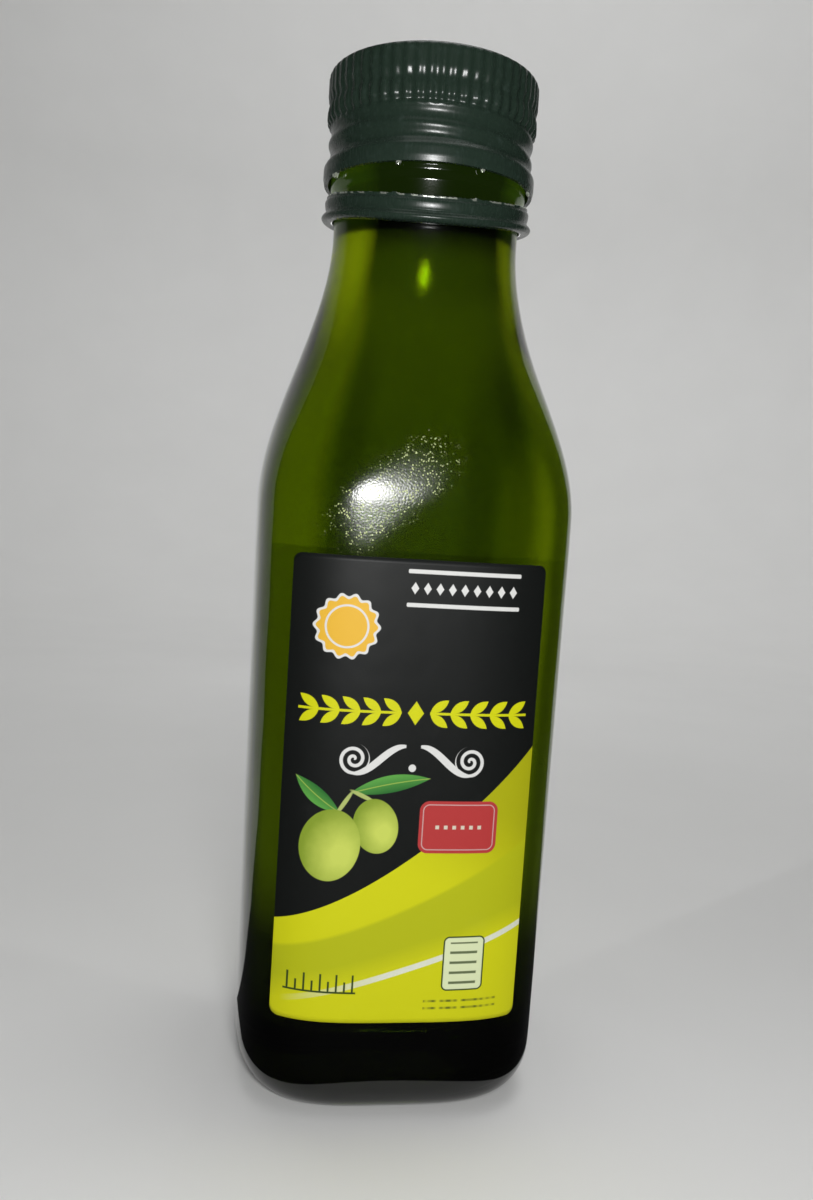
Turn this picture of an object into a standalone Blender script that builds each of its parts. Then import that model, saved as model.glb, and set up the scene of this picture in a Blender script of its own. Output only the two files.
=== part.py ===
"""Olive oil bottle: green glass with square shoulders, its oil, screw cap, loose tamper ring and labels.

Metres, +Z up, the origin at the centre of the foot, the front label facing -Y.
"""
from math import atan2, cos, hypot, pi, radians, sin

import bmesh
import bpy

MM = 0.001
CIRCLE = 2.0                   # exponent of a round outline
FRONT_TURN = 0.75              # the front's share of a full turn, counted from +X
VERTEX_TOLERANCE = 0.01 * MM
GAP = 0.3 * MM                 # left between pieces that touch

# Glass body: a rounded square that widens a little towards the shoulder.
SQUARENESS = 3.54              # exponent of the body's rounded square outline
FOOT_HALF_WIDTH = 26.2 * MM
SHOULDER_HALF_WIDTH = 27.0 * MM
HEEL_RISE = 8.8 * MM
HEEL_INSET = 6.5 * MM
STANDING_RIM_WIDTH = 2.4 * MM
PUNT_RISE = 1.8 * MM
PUNT_FLAT_SHARE = 0.55         # of the punt's width that is flat
SHOULDER_START = 100.5 * MM
TURN_START = 97.0 * MM         # the square outline turns into a circle between these heights
TURN_END = 134.0 * MM
WALL = 3.0 * MM
FLOOR = 4.5 * MM               # top of the glass floor inside
INNER_HEEL = 5.0 * MM
BODY_COLUMNS = 48
OUTER_HEEL_STEPS = 5
INNER_HEEL_STEPS = 4
OUTER_SHOULDER_STEPS = 12
INNER_SHOULDER_STEPS = 10

# Glass neck, the collar under the cap and the mouth.
NECK_START = 147.0 * MM
NECK_RADIUS = 16.2 * MM
COLLAR_START = 154.5 * MM
COLLAR_FLANK = 0.8 * MM
COLLAR_RADIUS = 17.1 * MM
COLLAR_END = 157.9 * MM
FINISH_RADIUS = 15.9 * MM
BORE_RADIUS = 12.8 * MM
MOUTH = 172.7 * MM

# Oil up to a level in the neck that the cap hides.
OIL_LEVEL = 160.0 * MM

# Cap: a waisted knurled band, a groove with the rolled thread in it, and a flared skirt.
CAP_TOP = 174.8 * MM
CAP_RIM = 156.0 * MM
CAP_RADIUS = 18.35 * MM
CAP_TOP_ROUNDING = 1.0 * MM
CAP_ROUNDING_STEPS = 3
CAP_INSIDE_TOP = 173.5 * MM
CAP_SKIRT_BORE = 17.65 * MM
CAP_THREAD_BORE = 16.8 * MM
KNURL_RIDGES = 57
KNURL_DEPTH = 0.30 * MM
KNURL_TOP = 172.2 * MM
KNURL_FOOT = 166.8 * MM
KNURL_WAIST = 169.4 * MM
WAIST_RADIUS = 17.9 * MM
GROOVE_TOP = 165.2 * MM
GROOVE_FOOT = 160.4 * MM
GROOVE_RADIUS = 17.5 * MM
GROOVE_STEPS = 5
THREAD_BULGE = 0.5 * MM
THREAD_FRONT = 161.9 * MM      # height of the thread's ridge where it passes the front
THREAD_PITCH = 3.4 * MM
THREAD_RIDGE_HALF = 1.1 * MM
SKIRT_RADIUS = 18.5 * MM
SKIRT_TOP = 158.4 * MM
SKIRT_FOOT = 157.0 * MM
RIM_RADIUS = 18.2 * MM
BRIDGE_COUNT = 8               # torn bridges that once joined the cap to its ring
BRIDGE_FIRST_BEARING = -25.0   # degrees from the front, towards +X
BRIDGE_WIDTH = 0.9 * MM
BRIDGE_THICKNESS = 0.5 * MM
BRIDGE_HEIGHT = 0.7 * MM

# Tamper ring, hanging loose on the neck and bent, lowest at the front.
RING_HEIGHT = 151.4 * MM       # of the ring's middle, on average
RING_TALL = 4.3 * MM
RING_LIP_RADIUS = 17.8 * MM
RING_GROOVE_RADIUS = 17.6 * MM
RING_GROOVE_DROP = 0.8 * MM    # drops are below the ring's top edge
RING_BEAD_RADIUS = 18.0 * MM
RING_BEAD_DROP = 1.5 * MM
RING_BEAD_TALL = 0.9 * MM
RING_FLARE_RADIUS = 18.55 * MM
RING_FLARE_DROP = 3.4 * MM
RING_FLARE_ROUNDING = 0.25 * MM
RING_CURL_RADIUS = 16.55 * MM  # the lower edge, curled in until it nearly meets the neck
RING_CURL_TALL = 0.4 * MM
RING_WALL = 0.6 * MM
RING_STEPS = 64
FRONT_DROOP = 2.1 * MM
SADDLE_DROOP = 0.6 * MM
SIDE_RISE = 0.4 * MM
TEAR_HEIGHT = 0.25 * MM        # torn tips left along the ring's front edge
TEAR_SPACING = 8               # columns of the ring from one tip to the next
FIRST_TEAR = 3

# Labels: paper wrapped on the front and back faces.
LABEL_HALF_WIDTH = 20.1 * MM
LABEL_BOTTOM = 17.1 * MM
LABEL_TOP = 92.7 * MM
LABEL_CORNER = 2.0 * MM
LABEL_SHIFT = -0.9 * MM        # the front label sits a little left of centre
LABEL_THICKNESS = 0.3 * MM
LABEL_CORNER_COLUMNS = 3
LABEL_FLAT_COLUMNS = 12
LABEL_ROWS = 3

GREEN_GLASS = (0.10, 0.16, 0.01)
GLASS_ROUGHNESS = 0.03
GREEN_OIL = (0.24, 0.30, 0.02)
OIL_ROUGHNESS = 0.02
CAP_GREEN = (0.012, 0.026, 0.018)
PAINT_ROUGHNESS = 0.28
PAINT_METALLIC = 0.4
LABEL_DARK = (0.022, 0.025, 0.024)
LABEL_LIME = (0.62, 0.66, 0.06)
PAPER_ROUGHNESS = 0.45
GLASS_EDGE_ANGLE = 40.0        # degrees; edges that turn by more are drawn sharp
METAL_EDGE_ANGLE = 30.0


def clear_scene():
    for item in list(bpy.data.objects):
        bpy.data.objects.remove(item, do_unlink=True)


def material(name, colour, roughness, metallic=0.0, transmission=0.0):
    made = bpy.data.materials.new(name)
    made.use_nodes = True
    shader = made.node_tree.nodes["Principled BSDF"]
    shader.inputs["Base Color"].default_value = (*colour, 1.0)
    shader.inputs["Roughness"].default_value = roughness
    shader.inputs["Metallic"].default_value = metallic
    shader.inputs["Transmission Weight"].default_value = transmission
    return made


def add_object(name, mesh, collection, finish=None, sharp_angle=GLASS_EDGE_ANGLE):
    """Wrap a mesh as a named object, smooth apart from its sharp edges."""
    mesh.shade_smooth()
    mesh.set_sharp_from_angle(angle=radians(sharp_angle))
    made = bpy.data.objects.new(name, mesh)
    collection.objects.link(made)
    if finish is not None:
        made.data.materials.append(finish)
    return made


def smooth_step(value, start, end):
    """Ease from 0 at start to 1 at end."""
    share = min(max((value - start) / (end - start), 0.0), 1.0)
    return share * share * (3.0 - 2.0 * share)


def spaced(start, end, count):
    """Evenly spaced values after start, up to and including end."""
    return [start + (end - start) * step / count for step in range(1, count + 1)]


def half_width(height):
    """Outside half-width of the glass from the top of the heel to the neck."""
    rise = (height - HEEL_RISE) / (SHOULDER_START - HEEL_RISE)
    wall = FOOT_HALF_WIDTH + (SHOULDER_HALF_WIDTH - FOOT_HALF_WIDTH) * min(rise, 1.0)
    return wall + (NECK_RADIUS - wall) * smooth_step(height, SHOULDER_START, NECK_START)


def squareness(height):
    """The outline's exponent, from the body's rounded square to the neck's circle."""
    return SQUARENESS + (CIRCLE - SQUARENESS) * smooth_step(height, TURN_START, TURN_END)


def ring_points(half, square, height, columns):
    """One closed outline of the bottle, seen from above."""
    points = []
    for column in range(columns):
        angle = 2.0 * pi * column / columns
        across = cos(angle)
        along = sin(angle)
        reach = half / (abs(across) ** square + abs(along) ** square) ** (1.0 / square)
        points.append((reach * across, reach * along, height))
    return points


def loft(name, sections, columns):
    """Skin the outlines in order; the first and last are closed by flat faces."""
    build = bmesh.new()
    rings = []
    for half, square, height in sections:
        rings.append([build.verts.new(point) for point in ring_points(half, square, height, columns)])
    for lower, upper in zip(rings, rings[1:]):
        for column in range(columns):
            following = (column + 1) % columns
            build.faces.new((lower[column], lower[following], upper[following], upper[column]))
    build.faces.new(list(reversed(rings[0])))
    build.faces.new(rings[-1])
    bmesh.ops.recalc_face_normals(build, faces=build.faces)
    mesh = bpy.data.meshes.new(name)
    build.to_mesh(mesh)
    build.free()
    return mesh


def heel_sections(top_half, inset, bottom, rise, steps):
    """A rounded lower edge, from its flat bottom up to the straight wall."""
    sections = []
    for turn in spaced(0.0, pi / 2.0, steps):
        half = top_half - inset + inset * sin(turn)
        sections.append((half, SQUARENESS, bottom + rise * (1.0 - cos(turn))))
    return sections


def outer_sections():
    """The glass from the punt under the foot up to the mouth."""
    land = FOOT_HALF_WIDTH - HEEL_INSET
    punt_edge = land - STANDING_RIM_WIDTH
    sections = [(punt_edge * PUNT_FLAT_SHARE, SQUARENESS, PUNT_RISE)]
    sections += [(punt_edge, SQUARENESS, 0.0), (land, SQUARENESS, 0.0)]
    sections += heel_sections(FOOT_HALF_WIDTH, HEEL_INSET, 0.0, HEEL_RISE, OUTER_HEEL_STEPS)
    for height in [SHOULDER_START] + spaced(SHOULDER_START, NECK_START, OUTER_SHOULDER_STEPS):
        sections.append((half_width(height), squareness(height), height))
    sections.append((NECK_RADIUS, CIRCLE, COLLAR_START))
    sections.append((COLLAR_RADIUS, CIRCLE, COLLAR_START + COLLAR_FLANK))
    sections.append((COLLAR_RADIUS, CIRCLE, COLLAR_END))
    sections.append((FINISH_RADIUS, CIRCLE, COLLAR_END + COLLAR_FLANK))
    sections.append((FINISH_RADIUS, CIRCLE, MOUTH - COLLAR_FLANK))
    sections.append((FINISH_RADIUS - COLLAR_FLANK, CIRCLE, MOUTH))
    return sections


def cavity_sections(inset, floor, top):
    """The inside of the glass, floor to top, drawn in by the inset from the outside wall."""
    wall_half = half_width(floor + INNER_HEEL) - inset
    sections = [(wall_half - INNER_HEEL, SQUARENESS, floor)]
    sections += heel_sections(wall_half, INNER_HEEL, floor, INNER_HEEL, INNER_HEEL_STEPS)
    for height in [SHOULDER_START] + spaced(SHOULDER_START, top, INNER_SHOULDER_STEPS):
        sections.append((half_width(height) - inset, squareness(height), height))
    return sections


def make_glass(collection):
    neck_bore = [(BORE_RADIUS, CIRCLE, COLLAR_START), (BORE_RADIUS, CIRCLE, MOUTH)]
    inside = cavity_sections(WALL, FLOOR, NECK_START) + neck_bore
    mesh = loft("bottle_glass", outer_sections() + list(reversed(inside)), BODY_COLUMNS)
    finish = material("green glass", GREEN_GLASS, GLASS_ROUGHNESS, transmission=1.0)
    return add_object("bottle_glass", mesh, collection, finish)


def make_oil(collection):
    bore_half = BORE_RADIUS - GAP
    in_neck = [(bore_half, CIRCLE, COLLAR_START), (bore_half, CIRCLE, OIL_LEVEL)]
    sections = cavity_sections(WALL + GAP, FLOOR + GAP, NECK_START) + in_neck
    mesh = loft("oil", sections, BODY_COLUMNS)
    finish = material("green oil", GREEN_OIL, OIL_ROUGHNESS, transmission=1.0)
    return add_object("oil", mesh, collection, finish)


def turned(name, profile, steps, collection):
    """Turn a profile of (radius, height) points about the Z axis, as a plain mesh."""
    outline = bpy.data.meshes.new(name + "_outline")
    points = [(radius, 0.0, height) for radius, height in profile]
    edges = [(index, index + 1) for index in range(len(points) - 1)]
    outline.from_pydata(points, edges, [])
    spun = bpy.data.objects.new(name + "_outline", outline)
    collection.objects.link(spun)
    screw = spun.modifiers.new("turn", "SCREW")
    screw.steps = steps
    screw.render_steps = steps
    screw.use_merge_vertices = True
    screw.merge_threshold = VERTEX_TOLERANCE
    bpy.context.view_layer.update()
    finished = spun.evaluated_get(bpy.context.evaluated_depsgraph_get())
    mesh = bpy.data.meshes.new_from_object(finished)
    mesh.name = name
    bpy.data.objects.remove(spun, do_unlink=True)
    return mesh


def turn_of(vertex):
    """Share of a full turn from +X, counted anticlockwise from above."""
    return (atan2(vertex.co.y, vertex.co.x) / (2.0 * pi)) % 1.0


def cap_profile():
    """The cap's section: over the top, down the outside, and up again inside."""
    shoulder = CAP_RADIUS - CAP_TOP_ROUNDING
    profile = [(0.0, CAP_TOP), (shoulder, CAP_TOP)]
    for turn in spaced(0.0, pi / 2.0, CAP_ROUNDING_STEPS):
        drop = CAP_TOP_ROUNDING * (1.0 - cos(turn))
        profile.append((shoulder + CAP_TOP_ROUNDING * sin(turn), CAP_TOP - drop))
    above_waist = 0.5 * (KNURL_TOP + KNURL_WAIST)
    below_waist = 0.5 * (KNURL_FOOT + KNURL_WAIST)
    profile += [(CAP_RADIUS, KNURL_TOP), (CAP_RADIUS, above_waist), (WAIST_RADIUS, KNURL_WAIST)]
    profile += [(CAP_RADIUS, below_waist), (CAP_RADIUS, KNURL_FOOT)]
    for height in [GROOVE_TOP] + spaced(GROOVE_TOP, GROOVE_FOOT, GROOVE_STEPS):
        profile.append((GROOVE_RADIUS, height))
    profile += [(SKIRT_RADIUS, SKIRT_TOP), (SKIRT_RADIUS, SKIRT_FOOT), (RIM_RADIUS, CAP_RIM)]
    inside_step = COLLAR_END + COLLAR_FLANK
    profile += [(CAP_SKIRT_BORE, CAP_RIM), (CAP_SKIRT_BORE, inside_step)]
    profile += [(CAP_THREAD_BORE, inside_step + COLLAR_FLANK), (CAP_THREAD_BORE, CAP_INSIDE_TOP)]
    profile.append((0.0, CAP_INSIDE_TOP))
    return profile


def press_cap_relief(mesh):
    """Press the knurl's valleys in and the rolled thread's ridge out."""
    columns = 2 * KNURL_RIDGES
    for vertex in mesh.vertices:
        radius = hypot(vertex.co.x, vertex.co.y)
        height = vertex.co.z
        turn = turn_of(vertex)
        change = 0.0
        if radius > WAIST_RADIUS - GAP and KNURL_FOOT - GAP < height < KNURL_TOP + GAP:
            change = -KNURL_DEPTH * (round(turn * columns) % 2)
        elif abs(radius - GROOVE_RADIUS) < VERTEX_TOLERANCE:
            ridge = THREAD_FRONT - THREAD_PITCH * (turn - FRONT_TURN)
            away = min(abs(height - ridge - THREAD_PITCH * lap) for lap in (-1, 0, 1))
            change = THREAD_BULGE * (1.0 - smooth_step(away, 0.0, THREAD_RIDGE_HALF))
        if change:
            vertex.co.x *= (radius + change) / radius
            vertex.co.y *= (radius + change) / radius


def bridge_stub(bearing):
    """One torn bridge under the cap's rim: a small block, sunk into the skirt above it."""
    build = bmesh.new()
    bmesh.ops.create_cube(build, size=1.0)
    reach = 0.5 * (CAP_SKIRT_BORE + RIM_RADIUS)
    angle = radians(bearing) + 2.0 * pi * FRONT_TURN
    for vertex in build.verts:
        along = vertex.co.x * BRIDGE_WIDTH
        outward = reach + vertex.co.y * BRIDGE_THICKNESS
        height = CAP_RIM + vertex.co.z * BRIDGE_HEIGHT
        east = outward * cos(angle) - along * sin(angle)
        north = outward * sin(angle) + along * cos(angle)
        vertex.co = (east, north, height)
    mesh = bpy.data.meshes.new("bridge")
    build.to_mesh(mesh)
    build.free()
    return mesh


def make_cap(collection, helpers):
    mesh = turned("cap", cap_profile(), 2 * KNURL_RIDGES, collection)
    press_cap_relief(mesh)
    finish = material("painted cap", CAP_GREEN, PAINT_ROUGHNESS, metallic=PAINT_METALLIC)
    cap = add_object("cap", mesh, collection, finish, METAL_EDGE_ANGLE)
    stubs = bpy.data.collections.new("bridge stubs")
    helpers.children.link(stubs)
    for number in range(BRIDGE_COUNT):
        bearing = BRIDGE_FIRST_BEARING + 360.0 * number / BRIDGE_COUNT
        stub = add_object(f"bridge_{number}", bridge_stub(bearing), stubs)
        stub.hide_render = True
        stub.display_type = "WIRE"
    join = cap.modifiers.new("bridges", "BOOLEAN")
    join.operation = "UNION"
    join.operand_type = "COLLECTION"
    join.collection = stubs
    return cap


def ring_profile():
    """The loose ring's section, its top edge at height 0: a lip, a bead, a flare and a curl under."""
    outside = [(RING_LIP_RADIUS, 0.0), (RING_GROOVE_RADIUS, -RING_GROOVE_DROP)]
    outside.append((RING_BEAD_RADIUS, -RING_BEAD_DROP))
    outside.append((RING_BEAD_RADIUS, -RING_BEAD_DROP - RING_BEAD_TALL))
    outside.append((RING_FLARE_RADIUS, -RING_FLARE_DROP))
    outside.append((RING_FLARE_RADIUS - RING_FLARE_ROUNDING, RING_FLARE_ROUNDING - RING_TALL))
    outside.append((RING_LIP_RADIUS, -RING_TALL))
    curl_top = RING_CURL_TALL - RING_TALL
    inside = [(RING_CURL_RADIUS, -RING_TALL), (RING_CURL_RADIUS, curl_top)]
    inside.append((RING_FLARE_RADIUS - RING_WALL, curl_top + RING_CURL_TALL))
    inside.append((RING_BEAD_RADIUS - RING_WALL, -RING_BEAD_DROP))
    inside.append((RING_BEAD_RADIUS - RING_WALL, 0.0))
    return outside + inside + outside[:1]


def ring_hang(turn):
    """How far the bent ring stands above its mean height, one full turn counted from +X."""
    bearing = 2.0 * pi * (turn - FRONT_TURN)
    return SIDE_RISE * sin(bearing) - FRONT_DROOP * cos(bearing) - SADDLE_DROOP * cos(2.0 * bearing)


def make_tamper_ring(collection):
    mesh = turned("tamper_ring", ring_profile(), RING_STEPS, collection)
    for vertex in mesh.vertices:
        turn = turn_of(vertex)
        at_top = vertex.co.z > -VERTEX_TOLERANCE
        at_front = turn > 0.5
        if at_top and at_front and round(turn * RING_STEPS) % TEAR_SPACING == FIRST_TEAR:
            vertex.co.z += TEAR_HEIGHT
        vertex.co.z += RING_HEIGHT + RING_TALL / 2.0 + ring_hang(turn)
    finish = material("painted ring", CAP_GREEN, PAINT_ROUGHNESS, metallic=PAINT_METALLIC)
    return add_object("tamper_ring", mesh, collection, finish, METAL_EDGE_ANGLE)


def face_depth(across, height):
    """How far the glass's front or back face stands from the centre, at one place of a label."""
    half = half_width(height) + GAP
    return (half ** SQUARENESS - abs(across) ** SQUARENESS) ** (1.0 / SQUARENESS)


def label_columns():
    """Places across a label, close together in its rounded corners, with the corner's rise there."""
    flat_half = LABEL_HALF_WIDTH - LABEL_CORNER
    places = []
    for turn in [0.0] + spaced(0.0, pi / 2.0, LABEL_CORNER_COLUMNS):
        places.append((-flat_half - LABEL_CORNER * cos(turn), LABEL_CORNER * (1.0 - sin(turn))))
    places += [(across, 0.0) for across in spaced(-flat_half, flat_half, LABEL_FLAT_COLUMNS)]
    for turn in spaced(pi / 2.0, 0.0, LABEL_CORNER_COLUMNS):
        places.append((flat_half + LABEL_CORNER * cos(turn), LABEL_CORNER * (1.0 - sin(turn))))
    return places


def make_label(name, side, shift, colour, collection):
    """A paper label bent to the glass; side is -1 for the front face and 1 for the back."""
    build = bmesh.new()
    columns = []
    for place, corner in label_columns():
        across = place + shift
        low = LABEL_BOTTOM + corner
        high = LABEL_TOP - corner
        strip = []
        for height in [low] + spaced(low, high, LABEL_ROWS):
            strip.append(build.verts.new((across, side * face_depth(across, height), height)))
        columns.append(strip)
    for left, right in zip(columns, columns[1:]):
        for row in range(LABEL_ROWS):
            corners = [left[row], right[row], right[row + 1], left[row + 1]]
            build.faces.new(corners if side < 0 else list(reversed(corners)))
    mesh = bpy.data.meshes.new(name)
    build.to_mesh(mesh)
    build.free()
    label = add_object(name, mesh, collection, material(name + " paper", colour, PAPER_ROUGHNESS))
    sheet = label.modifiers.new("paper", "SOLIDIFY")
    sheet.thickness = LABEL_THICKNESS
    sheet.offset = 1.0
    return label


def main():
    clear_scene()
    bottle = bpy.data.collections.new("olive oil bottle")
    helpers = bpy.data.collections.new("joined pieces")
    bpy.context.scene.collection.children.link(bottle)
    bpy.context.scene.collection.children.link(helpers)
    make_glass(bottle)
    make_oil(bottle)
    make_cap(bottle, helpers)
    make_tamper_ring(bottle)
    make_label("label_front", -1, LABEL_SHIFT, LABEL_DARK, bottle)
    make_label("label_back", 1, 0.0, LABEL_LIME, bottle)


main()
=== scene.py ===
"""Looks of the olive oil bottle: green glass, its oil, the painted cap and ring, and the printed labels."""
from math import cos, pi, radians, sin
from random import Random

import bmesh
import bpy
from mathutils import Matrix, Quaternion, Vector, noise


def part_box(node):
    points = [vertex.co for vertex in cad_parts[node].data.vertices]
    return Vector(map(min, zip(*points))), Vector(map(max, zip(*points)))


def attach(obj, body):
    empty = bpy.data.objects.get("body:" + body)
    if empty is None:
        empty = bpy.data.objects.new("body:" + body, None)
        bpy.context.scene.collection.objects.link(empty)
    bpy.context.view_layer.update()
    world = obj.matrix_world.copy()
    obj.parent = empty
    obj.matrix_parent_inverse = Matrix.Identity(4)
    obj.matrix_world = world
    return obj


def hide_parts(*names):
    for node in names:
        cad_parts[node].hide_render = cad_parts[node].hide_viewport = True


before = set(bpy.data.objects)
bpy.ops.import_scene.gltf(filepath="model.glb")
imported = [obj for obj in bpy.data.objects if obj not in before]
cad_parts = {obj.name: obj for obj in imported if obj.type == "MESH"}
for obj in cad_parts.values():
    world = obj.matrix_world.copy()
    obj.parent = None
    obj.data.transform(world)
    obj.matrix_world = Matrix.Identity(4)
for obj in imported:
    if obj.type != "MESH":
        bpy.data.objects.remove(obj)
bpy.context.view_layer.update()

MM = 0.001
CIRCLE = 2.0                   # exponent of a round outline
FRONT_TURN = 0.75              # the front's share of a full turn, counted from +X

# Sizes read from the frame.
GLASS_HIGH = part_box("bottle_glass")[1]
OIL_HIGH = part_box("oil")[1]
CAP_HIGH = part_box("cap")[1]
FRONT_LOW, FRONT_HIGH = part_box("label_front")
BACK_LOW, BACK_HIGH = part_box("label_back")
SHOULDER_HALF_WIDTH = GLASS_HIGH.x
MOUTH = GLASS_HIGH.z
OIL_LEVEL = OIL_HIGH.z
CAP_TOP = CAP_HIGH.z

# Glass body: a rounded square that widens a little towards the shoulder.
SQUARENESS = 3.54
FOOT_HALF_WIDTH = 26.2 * MM
HEEL_RISE = 8.8 * MM
HEEL_INSET = 6.5 * MM
STANDING_RIM_WIDTH = 2.4 * MM
PUNT_RISE = 1.8 * MM
PUNT_FLAT_SHARE = 0.45
SHOULDER_START = 100.5 * MM
TURN_START = 97.0 * MM         # the square outline turns into a circle between these heights
TURN_END = 134.0 * MM
WALL = 3.0 * MM
FLOOR = 4.5 * MM
INNER_HEEL = 5.0 * MM
OIL_REACH = 0.15 * MM          # how far the oil reaches into the glass, so that no air shows between
MENISCUS = 0.8 * MM
MENISCUS_WIDTH = 0.25          # as a share of the neck's radius
SURFACE_SHARE = 0.9            # how far in the oil's surface is divided

# Glass neck, the collar under the cap and the mouth.
NECK_START = 147.0 * MM
NECK_RADIUS = 16.2 * MM
COLLAR_START = 154.5 * MM
COLLAR_FLANK = 0.8 * MM
COLLAR_RADIUS = 17.1 * MM
COLLAR_END = 157.9 * MM
FINISH_RADIUS = 15.9 * MM
BORE_RADIUS = 12.8 * MM
MOUTH_ROUNDING = 0.3 * COLLAR_FLANK

# Cap: a waisted knurled band, a groove with the rolled thread in it, and a flared skirt.
CAP_RIM = 156.0 * MM
CAP_RADIUS = 18.35 * MM
CAP_TOP_ROUNDING = 1.0 * MM
CAP_INSIDE_TOP = 173.5 * MM
CAP_SKIRT_BORE = 17.65 * MM
CAP_THREAD_BORE = 16.8 * MM
KNURL_RIDGES = 57
KNURL_DEPTH = 0.34 * MM        # at the foot of the band, and a share of it at the top
KNURL_TOP_SHARE = 0.6
KNURL_TOP = 174.3 * MM
KNURL_FOOT = 166.8 * MM
KNURL_RUNOUT = 165.6 * MM
KNURL_WAIST = 169.4 * MM
KNURL_END = 0.7 * MM           # how softly the pressed grooves run out
WAIST_HALF = 1.5 * MM
WAIST_RADIUS = 18.06 * MM
GROOVE_TOP = 165.2 * MM
GROOVE_FOOT = 160.4 * MM
GROOVE_RADIUS = 17.5 * MM
THREAD_BULGE = 0.42 * MM
THREAD_FRONT = 161.9 * MM
THREAD_PITCH = 3.4 * MM
THREAD_RIDGE_HALF = 1.4 * MM
SKIRT_RADIUS = 18.5 * MM
SKIRT_TOP = 158.4 * MM
SKIRT_FOOT = 157.0 * MM
RIM_RADIUS = 18.3 * MM
BRIDGE_COUNT = 8
BRIDGE_FIRST_BEARING = -25.0   # degrees from the front, towards +X
BRIDGE_SIZE = Vector((1.0, 0.5, 1.1)) * MM
BRIDGE_RADIUS = 17.9 * MM
BRIDGE_SUNK = 0.35 * MM        # how much of a stub is up inside the rim
BRIDGE_BEVEL = 0.12 * MM
BRIDGE_LEAN = 0.3              # the torn foot's shape, as shares of the stub's size
BRIDGE_TAPER = (0.3, 0.9)
BRIDGE_RAGGED = 0.35
BRIDGE_BARE = (0.1 * MM, 0.4 * MM)

# Tamper ring, hanging loose on the neck and bent, lowest at the front.
RING_HEIGHT = 151.4 * MM
RING_TALL = 4.3 * MM
RING_LIP_RADIUS = 17.75 * MM
RING_GROOVE_RADIUS = 17.6 * MM
RING_GROOVE_DROP = 0.5 * MM
RING_BEAD_RADIUS = 18.0 * MM
RING_BEAD_DROP = 0.85 * MM
RING_BEAD_TALL = 1.15 * MM
RING_BEAD_TAPER = 0.15 * MM
RING_FLARE_RADIUS = 18.55 * MM
RING_FLARE_DROP = 3.4 * MM
RING_FLARE_ROUNDING = 0.25 * MM
RING_CURL_RADIUS = 16.55 * MM
RING_CURL_TALL = 0.4 * MM
RING_WALL = 0.6 * MM
FRONT_DROOP = 2.1 * MM
SADDLE_DROOP = 0.6 * MM
SIDE_RISE = 0.4 * MM
TEAR_HEIGHT = 0.25 * MM
TEARS_ROUND = 8
TEAR_RAGGED = 0.12 * MM
TEAR_FINENESS = 60.0
TEAR_PLACE = 0.4               # where in its share of the ring a tear stands, and half its width there
TEAR_HALF_WIDTH = 0.06
TORN_BAND = (-0.35 * MM, -0.05 * MM)
BARE_PATCHES = 90.0            # how closely bare and painted patches follow each other round the edge
BARE_LEVEL = 0.05

# Labels.
LABEL_OFF_GLASS = 0.04 * MM
LABEL_THICKNESS = 0.12 * MM
LABEL_CORNER = 1.3 * MM
LABEL_RIPPLE = 0.035 * MM
LABEL_RIPPLE_SIZE = 5.0 * MM

# How finely the surfaces are divided.
BODY_COLUMNS = 240
CAP_COLUMNS = KNURL_RIDGES * 10
RING_COLUMNS = 360
LABEL_COLUMNS = 72
LABEL_ROWS = 90
STUDIO_COLUMNS = 96
FLAG_COLUMNS = 60
CORNER_STEPS = 8
ROUNDING_STEPS = 6
PUNT_STEPS = 10
HEEL_STEPS = 16
INNER_HEEL_STEPS = 12
SWEEP_STEPS = 16
STRAIGHT_STEP = 4.0 * MM
CURVED_STEP = 1.0 * MM
CAP_STEP = 0.3 * MM
PIN_RADIUS = 1.0 * MM          # the first ring of a face that closes over the axis
CAP_PIN_RADIUS = 0.5 * MM
ROUND_SHARP_ANGLE = 60.0       # in degrees: sharper edges of the cap and the ring stay sharp


def smooth_step(value, start, end):
    """Ease from 0 at start to 1 at end."""
    share = min(max((value - start) / (end - start), 0.0), 1.0)
    return share * share * (3.0 - 2.0 * share)


def spaced(start, end, count):
    """Evenly spaced values after start, up to and including end."""
    return [start + (end - start) * step / count for step in range(1, count + 1)]


def steps_between(start, end, size):
    """Spaced values about size apart."""
    return spaced(start, end, max(1, round(abs(end - start) / size)))


def skin(name, rings, ends="closed"):
    """Join rings of points into one surface.

    The ends are closed by flat faces, open at the last ring, or joined to each other.
    """
    build = bmesh.new()
    rows = [[build.verts.new(point) for point in ring] for ring in rings]
    pairs = list(zip(rows, rows[1:]))
    if ends == "joined":
        pairs.append((rows[-1], rows[0]))
    for lower, upper in pairs:
        for column, corner in enumerate(lower):
            following = (column + 1) % len(lower)
            build.faces.new((corner, lower[following], upper[following], upper[column]))
    if ends in ("closed", "open"):
        build.faces.new(list(reversed(rows[0])))
    if ends == "closed":
        build.faces.new(rows[-1])
    bmesh.ops.recalc_face_normals(build, faces=build.faces)
    mesh = bpy.data.meshes.new(name)
    build.to_mesh(mesh)
    build.free()
    return mesh


def add_object(name, mesh, finish, sharp_angle=45.0):
    """Wrap a mesh as an object, smooth apart from its sharp edges."""
    mesh.shade_smooth()
    mesh.set_sharp_from_angle(angle=radians(sharp_angle))
    made = bpy.data.objects.new(name, mesh)
    bpy.context.scene.collection.objects.link(made)
    made.data.materials.append(finish)
    return made


def dress(piece, slot, *nodes):
    """The piece rides on the bottle and stands for these nodes, which it hides; the slot is not used."""
    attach(piece, "root")
    if nodes:
        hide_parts(*nodes)
    return piece


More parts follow.
